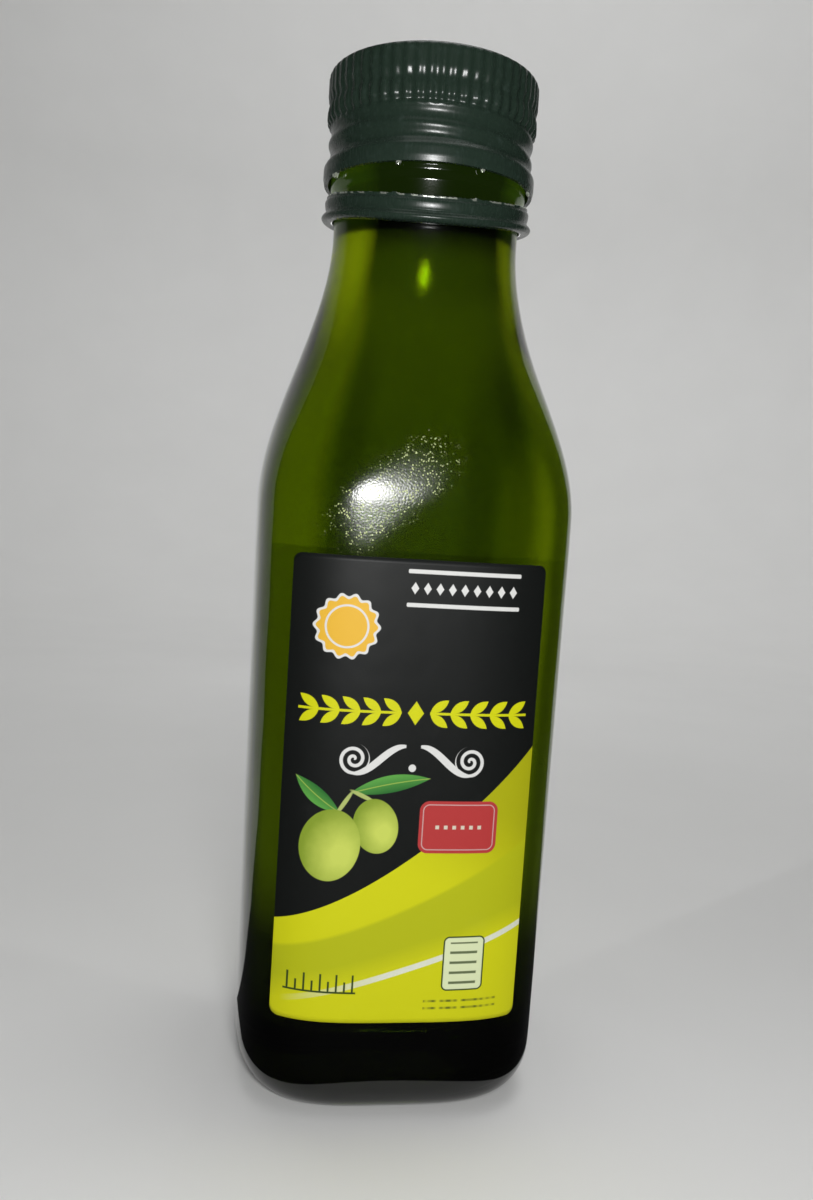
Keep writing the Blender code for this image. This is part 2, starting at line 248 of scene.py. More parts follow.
class Field:
    """A number that varies over a surface; arithmetic on it adds Math nodes to its finish."""

    def __init__(self, finish, socket):
        self.finish = finish
        self.socket = socket

    def __add__(self, other):
        return self.finish.maths("ADD", self, other)

    def __radd__(self, other):
        return self.finish.maths("ADD", other, self)

    def __sub__(self, other):
        return self.finish.maths("SUBTRACT", self, other)

    def __rsub__(self, other):
        return self.finish.maths("SUBTRACT", other, self)

    def __mul__(self, other):
        return self.finish.maths("MULTIPLY", self, other)

    def __rmul__(self, other):
        return self.finish.maths("MULTIPLY", other, self)

    def __truediv__(self, other):
        return self.finish.maths("DIVIDE", self, other)

    def __pow__(self, power):
        return self.finish.maths("POWER", self, power)

    def __mod__(self, period):
        return self.finish.maths("FLOORED_MODULO", self, period)

    def __abs__(self):
        return self.finish.maths("ABSOLUTE", self)


class Finish:
    """One material: its Principled shader, and the ways to add nodes in front of it."""

    def __init__(self, name, **constants):
        self.material = bpy.data.materials.new(name)
        self.material.use_nodes = True
        self.tree = self.material.node_tree
        self.shader = self.tree.nodes["Principled BSDF"]
        for socket, value in constants.items():
            self.set(socket.replace("_", " "), value)
        place = self.node("ShaderNodeTexCoord").outputs["Object"]
        self.place = place
        apart = self.node("ShaderNodeSeparateXYZ", inputs={"Vector": place})
        self.across = Field(self, apart.outputs["X"]) / MM
        self.deep = Field(self, apart.outputs["Y"]) / MM
        self.up = Field(self, apart.outputs["Z"]) / MM

    def node(self, kind, settings=None, inputs=None):
        """Add any node: its settings first, then the values or links of its sockets."""
        made = self.tree.nodes.new(kind)
        for setting, value in (settings or {}).items():
            setattr(made, setting, value)
        for socket, value in (inputs or {}).items():
            self.feed(made.inputs[socket], value)
        return made

    def feed(self, socket, value):
        """Give a socket a link, or a plain value."""
        if isinstance(value, Field):
            self.tree.links.new(value.socket, socket)
        elif isinstance(value, bpy.types.NodeSocket):
            self.tree.links.new(value, socket)
        else:
            socket.default_value = value

    def set(self, socket, value):
        """Feed one socket of the Principled shader; a colour may be given as three numbers."""
        if isinstance(value, tuple) and len(value) == 3:
            value = (*value, 1.0)
        self.feed(self.shader.inputs[socket], value)

    def maths(self, operation, *values, clamp=False):
        settings = {"operation": operation, "use_clamp": clamp}
        made = self.node("ShaderNodeMath", settings, dict(enumerate(values)))
        return Field(self, made.outputs[0])

    def larger(self, first, second):
        return self.maths("MAXIMUM", first, second)

    def smaller(self, first, second):
        return self.maths("MINIMUM", first, second)

    def eased(self, value, start, end):
        """Ease from 0 at start to 1 at end."""
        if end < start:
            return 1.0 - self.eased(value, end, start)
        inputs = {"Value": value, "From Min": start, "From Max": end}
        made = self.node("ShaderNodeMapRange", {"interpolation_type": "SMOOTHSTEP"}, inputs)
        return Field(self, made.outputs["Result"])

    def clamped(self, value):
        return self.maths("ADD", value, 0.0, clamp=True)

    def mix(self, share, under, over):
        """A colour between under and over."""
        settings = {"data_type": "RGBA", "clamp_factor": True}
        under = (*under, 1.0) if isinstance(under, tuple) else under
        over = (*over, 1.0) if isinstance(over, tuple) else over
        return self.node("ShaderNodeMix", settings, {0: share, 6: under, 7: over}).outputs[2]

    def noise(self, size, detail=2.0, roughness=0.5, stretch=(1.0, 1.0, 1.0)):
        """Soft noise from 0 to 1 whose lumps are about size across."""
        place = self.node("ShaderNodeVectorMath", {"operation": "MULTIPLY"}, {0: self.place, 1: stretch})
        inputs = {"Vector": place.outputs[0], "Scale": 1.0 / size, "Detail": detail, "Roughness": roughness}
        return Field(self, self.node("ShaderNodeTexNoise", inputs=inputs).outputs[0])

    def specks(self, size, share):
        """1 in small round specks, 0 elsewhere; share is how much of each cell a speck may fill."""
        inputs = {"Vector": self.place, "Scale": 1.0 / size, "Randomness": 1.0}
        cells = self.node("ShaderNodeTexVoronoi", inputs=inputs)
        return self.clamped(1.0 - Field(self, cells.outputs["Distance"]) / share)

    def bump(self, height, depth):
        """Relief on the surface: depth is the real height of a full step of the field."""
        inputs = {"Height": height, "Distance": depth, "Strength": 1.0}
        self.set("Normal", self.node("ShaderNodeBump", inputs=inputs).outputs["Normal"])

    def dusted(self, share, colour, roughness):
        """Lay dust over the shader: share is how much of the surface it hides."""
        inputs = {"Base Color": (*colour, 1.0), "Roughness": roughness}
        dust = self.node("ShaderNodeBsdfPrincipled", inputs=inputs)
        inputs = {0: share, 1: self.shader.outputs["BSDF"], 2: dust.outputs["BSDF"]}
        both = self.node("ShaderNodeMixShader", inputs=inputs)
        self.feed(self.tree.nodes["Material Output"].inputs["Surface"], both.outputs["Shader"])

    def absorb(self, colour, density):
        """Tint what passes through, per metre."""
        inputs = {"Color": (*colour, 1.0), "Density": density}
        volume = self.node("ShaderNodeVolumeAbsorption", inputs=inputs).outputs[0]
        self.feed(self.tree.nodes["Material Output"].inputs["Volume"], volume)


# Glass and oil
GLASS_IOR = 1.51
GLASS_CLEAR = (0.75, 0.80, 0.0)    # with the density, how much of each colour a metre takes away
GLASS_DENSITY = 12.0
OIL_CLEAR = (0.80, 0.84, 0.0)
OIL_DENSITY = 100.0
OIL_CLOUD = (0.97, 0.98, 0.90)
OIL_BRIGHT = (1.0, 1.0, 0.95)
SHARED_IOR = 1.01                  # glass and oil bend light alike, so the oil adds almost nothing
FLAT_GLASS_PAINTED_SHADE = (0.13, 0.19, 0.002)   # painted shade: the flats are tinted dark, as if shade behind the bottle showed through them
# Painted light: the corners are tinted bright, as if lit surroundings showed through them.
CORNER_GLASS_PAINTED_LIGHT = (0.62, 0.74, 0.10)
# Painted shade on the neck's front, and a painted shadow just under the ring.
NECK_FRONT_PAINTED_SHADE = (0.018, 0.03, 0.0008)
NECK_BACK_GLASS = (0.28, 0.42, 0.008)
PAINTED_SHADE_LINE = (0.02, 0.035, 0.0005)  # painted shade, darker along a line between each flat and its corner
# Painted light: the neck's sides are tinted bright.
NECK_SIDE_PAINTED_LIGHT = (1.0, 1.0, 0.14)
PAINTED_SHADOW_UNDER_RING = (0.002, 0.003, 0.0002)
# Painted shade: the foot is tinted nearly black.
FOOT_PAINTED_SHADE = (0.002, 0.003, 0.0005)
PAINTED_NECK_GLOW = (0.006, 0.013, 0.001)  # painted glow in the glass between cap and ring, which is no lamp
NO_GLOW = (0.0, 0.0, 0.0)
DUST = (0.52, 0.58, 0.25)
SMUDGE_MIDDLE = (-6.6, 103.0)      # a dusty fingermark on the shoulder, in millimetres across and up
SMUDGE_TILT = 42.0                 # degrees

# Where the glass changes: a mask is 0 at the first value and 1 at the second. Heights are in millimetres.
CORNER_ZONE = (0.62, 0.85)         # by how nearly a point lies on a diagonal of the square, 1 being on it
SHADE_LINE_INNER = (0.36, 0.52)
SHADE_LINE_OUTER = (0.68, 0.58)
SHADE_LINE_HEIGHTS = (132.0, 116.0)
SHADE_LINE_SHARE = 0.6
NECK_SIDE_ZONE = (0.60, 0.80)      # by how far a point lies to the side, 1 being square to the front
NECK_LIGHT_HEIGHTS = (116.0, 138.0)
NECK_FLAT_HEIGHTS = (116.0, 140.0)
NECK_HAZE_HEIGHTS = (124.0, 136.0)
NECK_DEPTHS = (-6.0, 6.0)
UNDER_RING_HEIGHTS = (140.5, 145.5)
COLLAR_HEIGHTS = (150.0, 152.0)
BASE_HEIGHTS = (36.0, 15.0)
SMUDGE_FRONT_DEPTHS = (-10.0, -16.0)
SMUDGE_HALF_WIDTHS = (7.5, 1.0)
SMUDGE_HALF_LENGTHS = (16.0, 5.0)

# How the glass's surface is, clean and where it is marked.
GLASS_ROUGHNESS = 0.012
SMEAR_ROUGHNESS = 0.03
SMUDGE_ROUGHNESS = 0.24
NECK_ROUGHNESS = 0.14
COLLAR_ROUGHNESS = -0.05           # the neck's haze ends at the collar
COAT_ROUGHNESS = 0.2
COAT_WEIGHT = 0.05
SMUDGE_COAT_WEIGHT = 0.10
GRAIN_SIZE = 0.32 * MM
GRAIN_HEIGHT = 0.006               # as shares of the bump's depth
SMUDGE_GRAIN_HEIGHT = 0.08
NECK_GRAIN_HEIGHT = 0.02
GLASS_BUMP = 0.25 * MM
DUST_SIZE = 0.42 * MM
DUST_SHARE = 0.38
DUST_ROUGHNESS = 0.6
DUST_EDGE = (0.0, 0.7)             # where the mark is strong enough to hold dust
DUST_PATCH_SIZE = 1.1 * MM
DUST_PATCHES = (0.52, 0.78)
SMEAR_SIZE = 9.0 * MM
WAVE_SIZE = 14.0 * MM              # the slow waves of blown glass


def painted_light_and_glass_tint(finish):
    """Painted shade and light in the glass's tint: dark flats and neck front, a painted shadow under the
    ring, bright corners and neck sides, darker lines between flats and corners, and a foot painted nearly
    black.
    """
    out_x = abs(finish.across)
    out_y = abs(finish.deep)
    squared = finish.smaller(out_x, out_y) / finish.larger(out_x, out_y)
    # Painted light: how much bright tint a point gets, on the corners and higher up on the neck's sides.
    corner = finish.eased(squared, *CORNER_ZONE)
    # Painted shade along a line between each flat and its corner.
    shade_line = finish.eased(squared, *SHADE_LINE_INNER) * finish.eased(squared, *SHADE_LINE_OUTER)
    shade_line = shade_line * finish.eased(finish.up, *SHADE_LINE_HEIGHTS)
    side = finish.eased(out_x / (out_x * out_x + out_y * out_y) ** 0.5, *NECK_SIDE_ZONE)
    thin = corner + (side - corner) * finish.eased(finish.up, *NECK_LIGHT_HEIGHTS)
    # Painted shade on the neck's front, darkest in a painted shadow just under the ring.
    neck_front = finish.mix(finish.eased(finish.up, *UNDER_RING_HEIGHTS), NECK_FRONT_PAINTED_SHADE, PAINTED_SHADOW_UNDER_RING)
    neck = finish.mix(finish.eased(finish.deep, *NECK_DEPTHS), neck_front, NECK_BACK_GLASS)
    flat = finish.mix(finish.eased(finish.up, *NECK_FLAT_HEIGHTS), FLAT_GLASS_PAINTED_SHADE, neck)
    painted_light_wall = finish.mix(finish.eased(finish.up, *NECK_LIGHT_HEIGHTS), CORNER_GLASS_PAINTED_LIGHT, NECK_SIDE_PAINTED_LIGHT)
    wall = finish.mix(SHADE_LINE_SHARE * shade_line, finish.mix(thin, flat, painted_light_wall), PAINTED_SHADE_LINE)
    # Painted shade: the foot is tinted nearly black.
    return finish.mix(finish.eased(finish.up, *BASE_HEIGHTS), wall, FOOT_PAINTED_SHADE)


def glass_finish():
    """Green glass with painted shade and light in its tint, a painted glow between cap and ring, a dusty
    mark on the shoulder and a hazy neck.
    """
    finish = Finish("green glass", IOR=GLASS_IOR, Transmission_Weight=1.0,
                    Coat_Roughness=COAT_ROUGHNESS, Emission_Strength=1.0)
    finish.set("Base Color", painted_light_and_glass_tint(finish))
    on_collar = finish.eased(finish.up, *COLLAR_HEIGHTS)
    # Painted glow in the glass between cap and ring.
    finish.set("Emission Color", finish.mix(on_collar, NO_GLOW, PAINTED_NECK_GLOW))
    smear = finish.noise(SMEAR_SIZE, detail=3.0)
    grain = finish.noise(GRAIN_SIZE, detail=0.0)
    along, aside = turned_axes(finish, SMUDGE_MIDDLE, SMUDGE_TILT)
    smudge = finish.eased(abs(aside), *SMUDGE_HALF_WIDTHS) * finish.eased(abs(along), *SMUDGE_HALF_LENGTHS)
    smudge = smudge * finish.eased(finish.deep, *SMUDGE_FRONT_DEPTHS)
    on_neck = finish.eased(finish.up, *NECK_HAZE_HEIGHTS)
    dust = finish.clamped(2.0 * finish.specks(DUST_SIZE, DUST_SHARE)) * finish.eased(smudge, *DUST_EDGE)
    dust = dust * finish.eased(finish.noise(DUST_PATCH_SIZE) + 0.2 * smudge, *DUST_PATCHES)
    finish.set("Coat Weight", COAT_WEIGHT + SMUDGE_COAT_WEIGHT * smudge)
    marks = SMEAR_ROUGHNESS * smear + SMUDGE_ROUGHNESS * smudge + NECK_ROUGHNESS * on_neck
    finish.set("Roughness", GLASS_ROUGHNESS + marks + COLLAR_ROUGHNESS * on_collar)
    relief = (GRAIN_HEIGHT + SMUDGE_GRAIN_HEIGHT * smudge + NECK_GRAIN_HEIGHT * on_neck) * grain
    finish.bump(finish.noise(WAVE_SIZE, detail=1.0) + relief, GLASS_BUMP)
    finish.dusted(dust, DUST, DUST_ROUGHNESS)
    finish.absorb(GLASS_CLEAR, GLASS_DENSITY)
    return finish.material


def wetted_finish():
    """The glass's inner faces under the oil, which can't be seen: the tint goes on through them."""
    finish = Finish("glass wetted by oil", IOR=SHARED_IOR, Transmission_Weight=1.0, Alpha=0.0, Roughness=0.0)
    return finish.material


def oil_finish():
    """Clear oil, whose colour comes from how much of it the light passes."""
    finish = Finish("olive oil", IOR=SHARED_IOR, Transmission_Weight=1.0, Roughness=0.0)
    finish.set("Base Color", finish.mix(finish.noise(20.0 * MM), OIL_CLOUD, OIL_BRIGHT))
    finish.absorb(OIL_CLEAR, OIL_DENSITY)
    return finish.material


# Cap and ring
PAINT = (0.015, 0.027, 0.019)
PAINT_WORN = (0.028, 0.044, 0.036)
ALUMINIUM = (0.72, 0.76, 0.66)
PAINT_ROUGHNESS = 0.21
SCRATCH_ROUGHNESS = 0.12
PAINT_BUMP = 0.012 * MM
WEAR_SIZE = 1.2 * MM
WEAR_LEVEL = 0.55              # noise above this counts as worn
WEAR_CONTRAST = 4.0
SCRATCH_SIZE = 0.5 * MM
SCRATCH_STRETCH = (1.0, 1.0, 0.12)


def paint_finish(name):
    """Dark green lacquer on aluminium, bare where the attribute torn says so."""
    finish = Finish(name, IOR=1.5, Specular_IOR_Level=0.35)
    torn = Field(finish, finish.node("ShaderNodeAttribute", {"attribute_name": "torn"}).outputs["Fac"])
    wear = finish.noise(WEAR_SIZE, detail=4.0, roughness=0.7)
    scratch = finish.noise(SCRATCH_SIZE, detail=2.0, stretch=SCRATCH_STRETCH)
    painted = finish.mix(finish.clamped((wear - WEAR_LEVEL) * WEAR_CONTRAST), PAINT, PAINT_WORN)
    finish.set("Base Color", finish.mix(torn, painted, ALUMINIUM))
    finish.set("Metallic", torn)
    finish.set("Roughness", PAINT_ROUGHNESS + SCRATCH_ROUGHNESS * scratch)
    finish.bump(wear + 0.5 * scratch, PAINT_BUMP)
    return finish.material


# Colours of the print
CHARCOAL = (0.0045, 0.0055, 0.005)
LIME = (0.515, 0.52, 0.001)
LIME_SHADE = (0.38, 0.405, 0.002)
LIME_DEEP = (0.34, 0.345, 0.001)
PALE = (0.60, 0.62, 0.50)
PALE_LIME = (0.60, 0.66, 0.40)
WHITE = (0.58, 0.58, 0.565)
AMBER = (0.64, 0.37, 0.03)
RED = (0.38, 0.032, 0.032)
OLIVE_LIGHT = (0.47, 0.54, 0.09)
OLIVE_DARK = (0.19, 0.27, 0.02)
TWIG = (0.34, 0.40, 0.12)
LEAF_LIGHT = (0.09, 0.31, 0.05)
LEAF_DARK = (0.015, 0.12, 0.02)
INK = (0.025, 0.05, 0.008)

# Places and sizes in the print, in millimetres: across from the bottle's middle, and up from its foot.
PRINT_EDGE = 0.12              # how soft a printed edge is
LABEL_MIDDLE = -0.9
LIME_EDGE = (44.7, 0.749, 0.0099)  # a curve's height in the middle, its slope and its bend
BAND_TOP = (36.6, 0.47, 0.0055)
STRIPE = (26.0, 0.33, 0.002)
STRIPE_HALF_HEIGHT = 0.5
STRIPE_START = -14.0           # where the stripe begins to gain strength
STRIPE_STRENGTH = 0.35
STRIPE_GAIN = 0.06
BAND_TOP_FADE = 1.5            # how fast the shaded band fades at its top and its foot, per millimetre
BAND_FOOT_FADE = 0.25
LIME_DEEPENS = (40.0, 62.0)    # heights in the middle, where the lime grows darker
LIME_DEEPENS_SLOPE = 0.5

FRIEZE_UP = 68.3
FRIEZE_START = 2.2             # out from the middle
FRIEZE_PITCH = 3.25
FRIEZE_PAIRS = 5               # pairs of leaves on a branch
FRIEZE_LEAF_TILT = radians(36.0)
FRIEZE_LEAF_MIDDLE = 1.95
FRIEZE_LEAF_HALF = (1.8, 0.72)
FRIEZE_STEM_HALF = 0.2
FRIEZE_STEM_INSET = 0.1
FRIEZE_LOZENGE_HALF = (1.3, 1.9)

SCROLL_OUT = 9.4               # where the flourish's scrolls are centred, out from the middle and up
SCROLL_UP = 60.6
SCROLL_RADIUS = 2.3
SCROLL_PITCH = 1.25
SCROLL_LINE_HALF = 0.27
SCROLL_RIM = 0.2
SCROLL_REACH = 8.2             # how far the swelling stroke runs in from a scroll
STROKE_HALF = (0.22, 0.55)     # at its ends, and what it gains between them
BEAD_DROP = 1.2
BEAD_RADIUS = 0.6

BARS_MIDDLE = 5.7
BAR_HEIGHTS = (90.8, 85.5)
BAR_HALF = (9.2, 0.32)
BAR_CORNER = 0.2
LOZENGE_UP = 88.15
LOZENGE_FIRST = -2.3
LOZENGE_PITCH = 2.0
LOZENGE_HALF = (0.62, 0.95)
LOZENGE_SLOPE = 0.6            # turns shares of a lozenge into millimetres from its edge
LOZENGE_ROW_HALF = 9.0

SEAL_MIDDLE = (-12.6, 81.6)
SEAL_RADIUS = 5.0
SEAL_SCALLOP = 0.28
SEAL_SCALLOPS = 14.0
SEAL_BORDER = 0.45
SEAL_CIRCLE_RADIUS = 3.3

SCALE_UP = 22.1
SCALE_MIDDLE = -13.6
SCALE_HALF_WIDTH = 5.8
SCALE_FIRST = -18.75
SCALE_TICK = (1.3, 23.0, 0.9)  # pitch, middle height and half height
SCALE_TALL_TICK = (2.6, 23.6, 1.5)
THIN_HALF = 0.16               # half a thin line

# The sprig: each piece's middle, its length and width or its half axes, and its turn in degrees.
LEAVES = (((-15.6, 54.6), 9.0, 2.6, 142.0), ((-4.2, 56.4), 13.0, 2.8, 12.0))
TWIGS = (((-11.4, 53.4), (2.3, 0.34), 58.0), ((-8.6, 54.7), (2.0, 0.34), -24.0))
OLIVES = (((-6.2, 49.8), (3.6, 4.5), 14.0), ((-13.3, 46.4), (4.8, 5.9), -8.0))
VEIN_HALF = 0.07
VEIN_SHARE = 0.5
LEAF_BEND = 0.12               # as a share of its width
OLIVE_SPOT = (0.35, -0.25)     # the light spot, as shares of the half axes
OLIVE_SHADE_REACH = 1.25
OLIVE_SHADE_START = 0.15
OLIVE_MOTTLE = 0.25
OLIVE_MOTTLE_SIZE = 1.6 * MM

PLAQUE = ((7.3, 49.8), (6.5, 4.3), 1.6)    # middle, half size and corner
PLAQUE_LINE_INSET = 0.6
PLAQUE_LINE_HALF = 0.08
DOT_FIRST = 3.8
DOT_PITCH = 1.4
DOT_HALF = 0.3
DOT_ROW_HALF = 4.2
TABLE = ((9.7, 27.0), (3.5, 4.6), 1.0)
TABLE_BORDER = 0.25
TABLE_ROWS = (23.75, 1.7, 0.22)    # first row, pitch and half height
TABLE_ROWS_HALF = (2.3, 3.6)
DASH_MIDDLE = (9.6, 20.1)
DASH_ROWS = (19.5, 1.2, 0.2)
DASH_ROWS_HALF = (6.2, 1.2)
DASH_SIZE = 0.9 * MM
DASH_CONTRAST = (3.0, 0.9)     # the noise is multiplied by the first and lowered by the second

BACK_HEAD = 80.0
BACK_PANEL = ((0.0, 50.0), (16.0, 24.0), 1.5)
BACK_ROWS = (1.6, 3.2, 0.3)
BACK_ROWS_HALF = (13.5, 21.0)
BACK_DASH_SIZE = 1.6 * MM
BACK_DASH_CONTRAST = (4.0, 1.2)

PLAQUE_LINE_SHARE = 0.5        # how strongly each small mark is printed
DOT_SHARE = 0.8
TABLE_ROW_SHARE = 0.85
DASH_SHARE = 0.8
BACK_ROW_SHARE = 0.75


def stay_inside(finish, distance):
    """1 where a distance is below zero, 0 outside, with a soft printed edge."""
    return finish.maths("SUBTRACT", 0.5, distance / PRINT_EDGE, clamp=True)


def rounded_box(finish, middle, half, corner):
    """Distance outside a rounded box."""
    wide = finish.larger(abs(finish.across - middle[0]) - (half[0] - corner), 0.0)
    tall = finish.larger(abs(finish.up - middle[1]) - (half[1] - corner), 0.0)
    return (wide * wide + tall * tall) ** 0.5 - corner


def turned_axes(finish, middle, degrees):
    """Coordinates along and across a shape that is turned by some degrees."""
    across = finish.across - middle[0]
    up = finish.up - middle[1]
    along = across * cos(radians(degrees)) + up * sin(radians(degrees))
    aside = up * cos(radians(degrees)) - across * sin(radians(degrees))
    return along, aside


def oval(finish, middle, radii, degrees):
    """Distance outside a turned oval."""
    along, aside = turned_axes(finish, middle, degrees)
    reach = ((along / radii[0]) ** 2.0 + (aside / radii[1]) ** 2.0) ** 0.5
    return (reach - 1.0) * min(radii)


def off_nearest(place, first, pitch):
    """Distance from the nearest of evenly spaced lines, one of which is at first."""
    return abs((place - (first - 0.5 * pitch)) % pitch - 0.5 * pitch)


def ruled_rows(finish, middle, half, rows):
    """Distance outside level strokes in a box; rows gives the first's height, pitch, half height."""
    first, pitch, half_height = rows
    strokes = off_nearest(finish.up, first, pitch) - half_height
    strokes = finish.larger(strokes, abs(finish.across - middle[0]) - half[0])
    return finish.larger(strokes, abs(finish.up - middle[1]) - half[1])


def curve_height(finish, middle, slope, bend):
    """How high a curve runs, from its height in the middle, its slope and its bend."""
    return middle + slope * finish.across + bend * finish.across * finish.across


def leaf(finish, middle, length, width, degrees):
    """Distance outside a leaf with two pointed ends, and how far across it a point lies."""
    along, aside = turned_axes(finish, middle, degrees)
    half = along / (0.5 * length)
    bend = aside - LEAF_BEND * width * (1.0 - half * half)
    return abs(bend) - 0.5 * width * (1.0 - half * half), bend


def print_olive(finish, colour, middle, radii, degrees):
    """An olive lit from the lower right, its skin a little mottled."""
    shape = stay_inside(finish, oval(finish, middle, radii, degrees))
    light_spot = (middle[0] + OLIVE_SPOT[0] * radii[0], middle[1] + OLIVE_SPOT[1] * radii[1])
    shade_radii = (OLIVE_SHADE_REACH * radii[0], OLIVE_SHADE_REACH * radii[1])
    away = oval(finish, light_spot, shade_radii, degrees) / min(radii) + 1.0
    mottle = OLIVE_MOTTLE * finish.noise(OLIVE_MOTTLE_SIZE)
    skin_colour = finish.mix(finish.clamped(away - OLIVE_SHADE_START + mottle), OLIVE_LIGHT, OLIVE_DARK)
    return finish.mix(shape, colour, skin_colour)


def print_leaf(finish, colour, middle, length, width, degrees):
    """A leaf, lighter on one side, with a pale vein."""
    distance, aside = leaf(finish, middle, length, width, degrees)
    blade = finish.mix(finish.clamped(0.5 + aside / width), LEAF_DARK, LEAF_LIGHT)
    vein = stay_inside(finish, abs(aside) - VEIN_HALF)
    blade = finish.mix(VEIN_SHARE * vein, blade, OLIVE_LIGHT)
    return finish.mix(stay_inside(finish, distance), colour, blade)


def fields(finish):
    """Charcoal above and lime below a rising curve, with a shaded band and a pale stripe in the lime."""
    above_stripe = finish.up - curve_height(finish, *STRIPE)
    lime = stay_inside(finish, finish.up - curve_height(finish, *LIME_EDGE))
    band = finish.clamped((curve_height(finish, *BAND_TOP) - finish.up) * BAND_TOP_FADE)
    band = band * finish.clamped(above_stripe * BAND_FOOT_FADE)
    pale = stay_inside(finish, abs(above_stripe) - STRIPE_HALF_HEIGHT)
    deeper = finish.eased(finish.up + LIME_DEEPENS_SLOPE * finish.across, *LIME_DEEPENS)
    lime_field = finish.mix(deeper, LIME, LIME_DEEP)
    colour = finish.mix(band, lime_field, LIME_SHADE)
    fading = finish.clamped(STRIPE_STRENGTH + STRIPE_GAIN * (finish.across - STRIPE_START))
    colour = finish.mix(pale * fading, colour, PALE)
    return finish.mix(lime, CHARCOAL, colour)


def frieze(finish):
    """Two branches that grow out from a lozenge, in place of a title."""
    out = abs(finish.across - LABEL_MIDDLE)
    up = abs(finish.up - FRIEZE_UP)
    along = (out - FRIEZE_START) % FRIEZE_PITCH
    run = along * cos(FRIEZE_LEAF_TILT) + up * sin(FRIEZE_LEAF_TILT)
    aside = up * cos(FRIEZE_LEAF_TILT) - along * sin(FRIEZE_LEAF_TILT)
    half = (run - FRIEZE_LEAF_MIDDLE) / FRIEZE_LEAF_HALF[0]
    leaves = abs(aside) - FRIEZE_LEAF_HALF[1] * (1.0 - half * half)
    stem = up - FRIEZE_STEM_HALF
    past_end = out - (FRIEZE_START + FRIEZE_PAIRS * FRIEZE_PITCH)
    ends = finish.larger(past_end, FRIEZE_START + FRIEZE_STEM_INSET - out)
    twig = finish.larger(finish.smaller(leaves, stem), ends)
    lozenge = out / FRIEZE_LOZENGE_HALF[0] + up / FRIEZE_LOZENGE_HALF[1] - 1.0
    return stay_inside(finish, finish.smaller(twig, lozenge))


def flourish(finish):
    """Two white scrolls joined by a swelling stroke, under the frieze."""
    out = abs(finish.across - LABEL_MIDDLE)
    aside = out - SCROLL_OUT
    up = finish.up - SCROLL_UP
    reach = (aside * aside + up * up) ** 0.5
    lap = finish.maths("ARCTAN2", aside, -1.0 * up) / (2.0 * pi) % 1.0
    arm = abs(((SCROLL_RADIUS - reach) / SCROLL_PITCH - lap + 0.5) % 1.0 - 0.5) * SCROLL_PITCH
    scroll = finish.larger(arm - SCROLL_LINE_HALF, reach - SCROLL_RADIUS - SCROLL_RIM)
    share = aside / SCROLL_REACH
    swell = SCROLL_RADIUS * finish.maths("COSINE", share * pi)
    thick = STROKE_HALF[0] + STROKE_HALF[1] * finish.clamped(abs(finish.maths("SINE", share * pi)))
    inward = abs(aside + 0.5 * SCROLL_REACH) - 0.5 * SCROLL_REACH
    stroke = finish.larger(abs(up + swell) - thick, inward)
    bead = (out ** 2.0 + (up + BEAD_DROP) ** 2.0) ** 0.5 - BEAD_RADIUS
    return stay_inside(finish, finish.smaller(finish.smaller(scroll, stroke), bead))


def bars_and_lozenges(finish):
    """Two white bars with a row of small lozenges between them."""
    upper, lower = [rounded_box(finish, (BARS_MIDDLE, up), BAR_HALF, BAR_CORNER) for up in BAR_HEIGHTS]
    wide = off_nearest(finish.across, LOZENGE_FIRST, LOZENGE_PITCH) / LOZENGE_HALF[0]
    tall = abs(finish.up - LOZENGE_UP) / LOZENGE_HALF[1]
    ends = abs(finish.across - BARS_MIDDLE) - LOZENGE_ROW_HALF
    row = finish.larger((wide + tall - 1.0) * LOZENGE_SLOPE, ends)
    return stay_inside(finish, finish.smaller(finish.smaller(upper, lower), row))


def seal(finish, colour):
    """A plain amber seal with a scalloped edge."""
    across = finish.across - SEAL_MIDDLE[0]
    up = finish.up - SEAL_MIDDLE[1]
    reach = (across * across + up * up) ** 0.5
    turn = finish.maths("ARCTAN2", up, across)
    scallop = SEAL_RADIUS + SEAL_SCALLOP * finish.maths("COSINE", turn * SEAL_SCALLOPS)
    colour = finish.mix(stay_inside(finish, reach - scallop), colour, WHITE)
    colour = finish.mix(stay_inside(finish, reach - scallop + SEAL_BORDER), colour, AMBER)
    return finish.mix(stay_inside(finish, abs(reach - SEAL_CIRCLE_RADIUS) - THIN_HALF), colour, WHITE)


def scale_mark(finish):
    """A short graduated scale in dark ink."""
    marks = abs(finish.up - SCALE_UP) - THIN_HALF
    for pitch, up, half_height in (SCALE_TICK, SCALE_TALL_TICK):
        stroke = off_nearest(finish.across, SCALE_FIRST, pitch) - THIN_HALF
        marks = finish.smaller(marks, finish.larger(stroke, abs(finish.up - up) - half_height))
    ends = abs(finish.across - SCALE_MIDDLE) - SCALE_HALF_WIDTH
    return stay_inside(finish, finish.larger(marks, ends))


def sprig(finish, colour):
    """Two leaves and two olives on their twigs."""
    for place in LEAVES:
        colour = print_leaf(finish, colour, *place)
    for place in TWIGS:
        colour = finish.mix(stay_inside(finish, oval(finish, *place)), colour, TWIG)
    for place in OLIVES:
        colour = print_olive(finish, colour, *place)
    return colour


